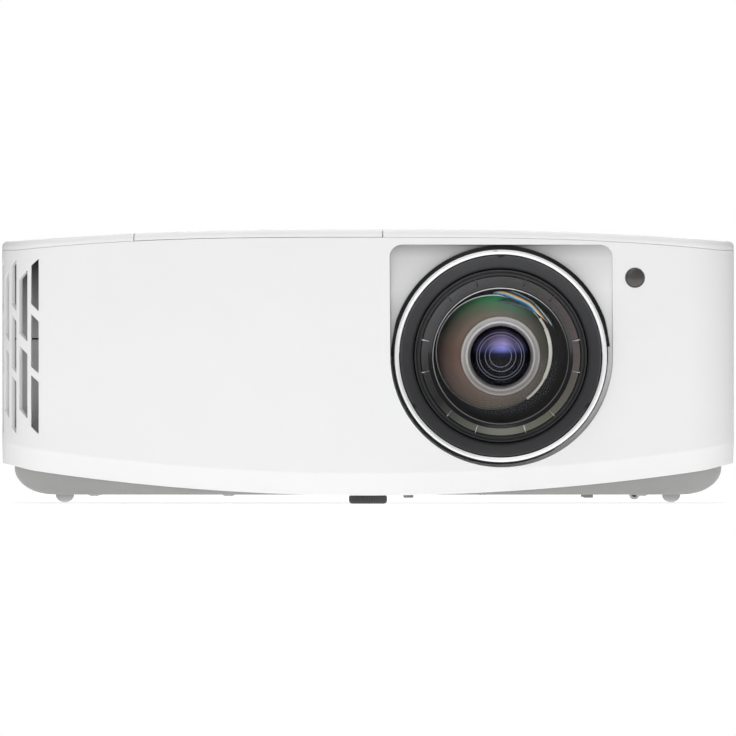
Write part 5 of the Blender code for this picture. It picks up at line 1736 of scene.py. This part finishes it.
def make_usb():
    """The USB socket."""
    x, z, rear = port("usb_port")
    opening = rounded_rectangle((x - 6.3 * MM, z - 2.4 * MM), (x + 6.3 * MM, z + 2.4 * MM), 0.3 * MM)
    shell = socket_shell("usb_port", opening, 0.5 * MM, 12 * MM)
    piece("usb_shell", shell, STEEL, ("usb_port",), slot="satin_metal")
    tongue = tongue_mesh(x, z, rear, 5.4, (11.8, 2.2, 0.2, 2.0))
    piece("usb_tongue", tongue, BLACK_SATIN, slot="black_plastic")
    contacts = contact_row(x, z + 0.08 * MM, 4, 2.2 * MM, 1.1 * MM, rear - 10 * MM, rear - 3 * MM)
    piece("usb_contacts", contacts, GOLD, slot="satin_metal")


def make_serial():
    """The nine-pin socket with its pins and its two screw posts."""
    x, z, rear = port("serial_port")
    shape = rounded(shifted(SERIAL_SHAPE, x, z), 1.6 * MM, 5)
    shell = socket_shell("serial_port", shape, 1.5 * MM, 5.8 * MM)
    piece("serial_shell", shell, STEEL, ("serial_port",), slot="satin_metal")
    pin = mm((0, 4.4), (0.3, 4.3), (0.5, 3.8), (0.5, 0), (0, 0))
    pins = []
    for row, count in ((1.4, 5), (-1.4, 4)):
        for i in range(count):
            place = (x + (i - (count - 1) / 2) * 2.76 * MM, rear - 5.9 * MM, z + row * MM)
            pins.append(turned_mesh(pin, place, REARWARD, 16, closed=False))
    piece("serial_pins", joined(pins), GOLD, slot="satin_metal")
    post = rounded(mm((2.4, 0), (2.4, 0.9), (1.3, 0.9), (1.3, -1.0), (2.4, -1.0)), 0.1 * MM)
    posts = [turned_mesh(post, (x + side * 12.5 * MM, rear, z), REARWARD, 6) for side in (-1, 1)]
    piece("serial_posts", joined(posts), STEEL, slot="satin_metal")


def make_jacks():
    """The block with three audio jacks, each with its coloured ring."""
    low, high = PORT_BOXES["audio_jack_block"]
    _, z, rear = port("audio_jack_block")
    edge = face_outline((low, high), 0.8 * MM)
    holes = [arc_points((x, z), 3.2 * MM, 0, 360, 48)[:-1] for x, _ in JACKS]
    bores = [arc_points((x, z), 2.6 * MM, 0, 360, 40)[:-1] for x, _ in JACKS]
    front = upright([edge] + holes, 3 * MM, rear - 1.5 * MM, 0.2 * MM)
    block = box_mesh(low, (high[0], rear - 14 * MM, high[2]))
    sleeves = upright([edge] + bores, 11 * MM, rear - 8.6 * MM, 0.1 * MM)
    block = joined([front, block, sleeves])
    piece("jack_block_body", block, BLACK_SATIN, ("audio_jack_block",), slot="black_plastic")
    profile = rounded(mm((3.05, 0.1), (3.05, -9), (1.85, -9), (1.85, 0.1)), 0.25 * MM)
    for i, (x, material) in enumerate(JACKS, 1):
        ring = turned_mesh(profile, (x, rear, z), REARWARD, 48)
        piece(f"jack_ring_{i}", ring, material, slot="black_plastic")


def make_ports():
    """The signal connectors."""
    make_hdmi("hdmi_port_1")
    make_hdmi("hdmi_port_2")
    make_usb()
    make_serial()
    make_jacks()


def make_mains_inlet():
    """The mains inlet with its three pins."""
    low, high = PORT_BOXES["mains_inlet"]
    x, z, rear = port("mains_inlet")
    wall = face_outline((low, high), 1.5 * MM)
    cavity = rounded(shifted(INLET_SHAPE, x, z), 1.2 * MM, 5)
    tube = upright([wall, cavity], 17 * MM, rear - 8.5 * MM, 0.3 * MM)
    back = upright([wall], rear - 17 * MM - low[1] + 0.1 * MM, (rear - 17 * MM + low[1]) / 2, 0.2 * MM)
    piece("inlet_body", joined([tube, back]), BLACK_SATIN, ("mains_inlet",), slot="black_plastic")
    pins = []
    for dx, dz in ((-7, -2), (7, -2), (0, 2)):
        pins.append(box_mesh((x + (dx - 1) * MM, rear - 17.5 * MM, z + (dz - 2) * MM),
                             (x + (dx + 1) * MM, rear - 5 * MM, z + (dz + 2) * MM), 0.4 * MM))
    piece("inlet_pins", joined(pins), STEEL, slot="satin_metal")


# ---------------------------------------------------------------- keypad

MARK_HEIGHT = 0.14 * MM
ARROW = ((1.5, 0), (-0.9, 1.3), (-0.9, -1.3))
ARROW_TURNS = {"up": 90, "left": 180, "down": 270, "right": 0}


def prism(points, place):
    """A small raised mark on a key, from an outline in millimetres."""
    return placed(sheet_mesh([mm(*points)], MARK_HEIGHT, 0.04 * MM, 1), Matrix.Translation(place))


def bar(left, bottom, right, top):
    """A rectangle's corners."""
    return (left, bottom), (right, bottom), (right, top), (left, top)


def arc_band_flat(place, radius, width, start, end, count=36):
    """A thin curved bar that lies flat, in millimetres about a point."""
    inner, outer = (radius - width / 2) * MM, (radius + width / 2) * MM
    under, over = Vector((0, 0, -0.06 * MM)), Vector((0, 0, 0.07 * MM))
    sections = []
    for i in range(count + 1):
        angle = math.radians(start + (end - start) * i / count)
        way = Vector((math.cos(angle), math.sin(angle), 0))
        near, far = place + way * inner, place + way * outer
        sections.append([near + under, far + under, far + over, near + over])
    return band_mesh(sections)


def key_mark(name, top):
    """A key's plain sign, a little above its top."""
    if name in ARROW_TURNS:
        turn = Matrix.Rotation(math.radians(ARROW_TURNS[name]), 2)
        return prism([tuple(turn @ Vector(corner)) for corner in ARROW], top)
    if name == "power":
        return joined([arc_band_flat(top, 1.9, 0.5, 125, 415), prism(bar(-0.25, 0.5, 0.25, 2.6), top)])
    if name == "menu":
        return joined([prism(bar(-1.3, y - 0.2, 1.3, y + 0.2), top) for y in (-0.9, 0, 0.9)])
    if name == "source":
        wedge = prism([(-0.3, -0.3), (0.3, -0.3), (0, 0.4)], top)
        return joined([arc_band_flat(top, 1.2, 0.4, 0, 358), wedge])
    return arc_band_flat(top, 2.2, 0.45, 0, 358)


def make_keys():
    """The keys with their signs, and three status lights."""
    for name in KEY_NAMES:
        place, radius = key_place(name)
        body = f"key_{name}"
        low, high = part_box(body)
        bottom = low[2] - high[2]
        profile = [(0, 0), (radius * 0.55, 0), (radius - 0.9 * MM, -0.05 * MM),
                   (radius - 0.35 * MM, -0.18 * MM), (radius - 0.05 * MM, -0.5 * MM),
                   (radius, -0.9 * MM), (radius, bottom + 1 * MM),
                   (radius + 0.9 * MM, bottom + 0.95 * MM), (radius + 0.95 * MM, bottom), (0, bottom)]
        cap = turned_mesh(profile, place, closed=False, steps=96)
        piece(f"{body}_cap", cap, KEY_WHITE, (body,), body=body, slot="key_white")
        mark = key_mark(name, place + Vector((0, 0, 0.04 * MM)))
        piece(f"{body}_mark", mark, PRINT_GREY, body=body)
    lens = mm((0, 0.25), (0.5, 0.22), (0.85, 0.05), (0.95, -0.3), (0.95, -1), (0, -1))
    lights = []
    for x, y in mm((58, 49), (63, 49), (68, 49)):
        lights.append(turned_mesh(lens, (x, y, crown_height(x)), closed=False, steps=32))
    piece("status_lights", joined(lights), STATUS_LIGHT)


# ---------------------------------------------------------------- inside, seen through the openings

def duct_painted_shade_material():
    """Grey plastic inside the vents, with painted shade that darkens it upwards."""
    # Painted shade: near black at the top
    stops = [(0.0, (0.66, 0.66, 0.66)), (0.60, (0.62, 0.62, 0.62)), (0.80, (0.36, 0.36, 0.36)),
             (1.0, (0.03, 0.03, 0.03))]
    return painted_shade_height_material("duct_grey_painted_shade", 20 * MM, 106 * MM, stops, (60, 0.92), 1500, 2.0, 0.2)[0]


def make_vent_ducts():
    """Plain walls close behind the corner vents, each with a dark joint across it."""
    walls, joints = [], []
    for side in (-1, 1):
        ends = sorted((side * 120 * MM, side * 152.5 * MM))
        for low, high in ((21 * MM, 70.6 * MM), (71.3 * MM, 105 * MM)):
            walls.append(box_mesh((ends[0], -96 * MM, low), (ends[1], -94.6 * MM, high)))
        joints.append(box_mesh((ends[0], -95.2 * MM, 70.0 * MM), (ends[1], -94 * MM, 72.0 * MM)))
    piece("vent_duct_walls", joined(walls), duct_painted_shade_material(), slot="matte_black")
    piece("vent_duct_joints", joined(joints), BLACK_SATIN, slot="matte_black")


INSIDE = (
    (INNER_DARK, ("intake_fan_frame", "exhaust_fan_frame", "intake_fan_rotor", "exhaust_fan_rotor")),
    (INNER_DARK, ("speaker", "lens_flange", "rear_lens_tube", "lamp_housing")),
    (INNER_DARK, ("power_transformer", "lamp_ballast")),
    (STEEL, ("optical_engine", "heatsink", "wheel_motor", "lamp_handle")),
    (BOARD_GREEN, ("main_board", "power_board", "chip_board", "keypad_board")),
    (MIRROR, ("lamp_reflector", "light_tunnel")),
    (INNER_GLASS, ("rear_glass", "lamp_burner", "colour_wheel")),
)


def make_inside():
    """Looks of the CAD nodes that stay in view."""
    for material, nodes in INSIDE:
        recoloured(nodes, material)


make_main_shell()
make_top()
make_lid_screw()
make_shell_lip()
make_lens()
make_tray()
make_feet()
make_security_bar()
make_rear_panel()
make_ports()
make_mains_inlet()
make_keys()
make_vent_ducts()
make_inside()
# ---------------------------------------------------------------- floor, light and camera

WORLD_FILL = 0.13
FLOOR_GLOW = 0.6
CAMERA_LENS = 1459
CAMERA_PLACE = (0.0, -12.935, 0.040)
CAMERA_SHIFT = 0.058
# Name, place, what it faces, width, height and power
LIGHTS = (
    ("camera_fill", (0, -3.0, 0.5), (0, 0, 0.06), 1.4, 0.9, 18.5),
    ("front_softbox", (-0.3, -2.2, 1.6), (0, 0, 0.05), 1.4, 1.6, 8),
    ("top_softbox", (0, 0.1, 1.8), (0, 0, 0), 0.8, 1.8, 21),
    ("rear_softbox", (0.0, 2.4, 1.2), (0, 0, 0.05), 0.9, 1.4, 14),
)
FLOOR_REACH = 1.6


def flat_object(name, vertices, material):
    """A stage object that is one face."""
    mesh = bpy.data.meshes.new(name)
    mesh.from_pydata(vertices, [], [tuple(range(len(vertices)))])
    mesh.materials.append(material)
    obj = bpy.data.objects.new(name, mesh)
    bpy.context.scene.collection.objects.link(obj)
    obj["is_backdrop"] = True


def area_light(name, place, target, width, height, power):
    """A white area light that faces a point and that the camera doesn't see."""
    light = bpy.data.lights.new(name, "AREA")
    light.shape = "RECTANGLE"
    light.size = width
    light.size_y = height
    light.energy = power
    obj = bpy.data.objects.new(name, light)
    obj.location = place
    obj.rotation_euler = (Vector(target) - Vector(place)).to_track_quat("-Z", "Y").to_euler()
    obj.visible_camera = False
    bpy.context.scene.collection.objects.link(obj)


def make_stage():
    """A pale floor that runs out to a white world, soft light from the front and above, and the camera."""
    material, tree, shader, coords = new_material("floor")
    grain = noise(tree, coords, 30, 5)
    tone = ramp(tree, grain, "Fac", [(0.3, (0.88, 0.88, 0.88)), (0.7, (0.90, 0.90, 0.90))])
    link(tree, tone, "Color", shader, "Base Color")
    shader.inputs["Roughness"].default_value = 0.8
    shader.inputs["Specular IOR Level"].default_value = 0.1
    shader.inputs["Emission Color"].default_value = (1, 1, 1, 1)
    shader.inputs["Emission Strength"].default_value = FLOOR_GLOW
    corners = [(x * FLOOR_REACH, y * FLOOR_REACH, 0) for x, y in ((-1, -1), (1, -1), (1, 1), (-1, 1))]
    flat_object("floor", corners, material)

    world = bpy.data.worlds.new("studio")
    bpy.context.scene.world = world
    world.use_nodes = True
    tree = world.node_tree
    background = tree.nodes["Background"]
    background.inputs["Color"].default_value = (1, 1, 1, 1)
    background.inputs["Strength"].default_value = WORLD_FILL
    white = tree.nodes.new("ShaderNodeBackground")
    white.inputs["Color"].default_value = (1, 1, 1, 1)
    rays = tree.nodes.new("ShaderNodeLightPath")
    mix = tree.nodes.new("ShaderNodeMixShader")
    link(tree, rays, "Is Camera Ray", mix, "Fac")
    tree.links.new(background.outputs["Background"], mix.inputs[1])
    tree.links.new(white.outputs["Background"], mix.inputs[2])
    link(tree, mix, "Shader", tree.nodes["World Output"], "Surface")

    for name, place, target, width, height, power in LIGHTS:
        area_light(name, place, target, width, height, power)
    bpy.data.objects["camera_fill"].visible_glossy = False

    camera = bpy.data.cameras.new("camera")
    camera.lens = CAMERA_LENS
    camera.clip_end = 30
    camera.shift_y = CAMERA_SHIFT
    obj = bpy.data.objects.new("camera", camera)
    obj.location = CAMERA_PLACE
    obj.rotation_euler = (math.pi / 2, 0, 0)
    bpy.context.scene.collection.objects.link(obj)
    bpy.context.scene.camera = obj
    bpy.context.scene.view_settings.view_transform = "Standard"


make_stage()
bpy.context.view_layer.update()
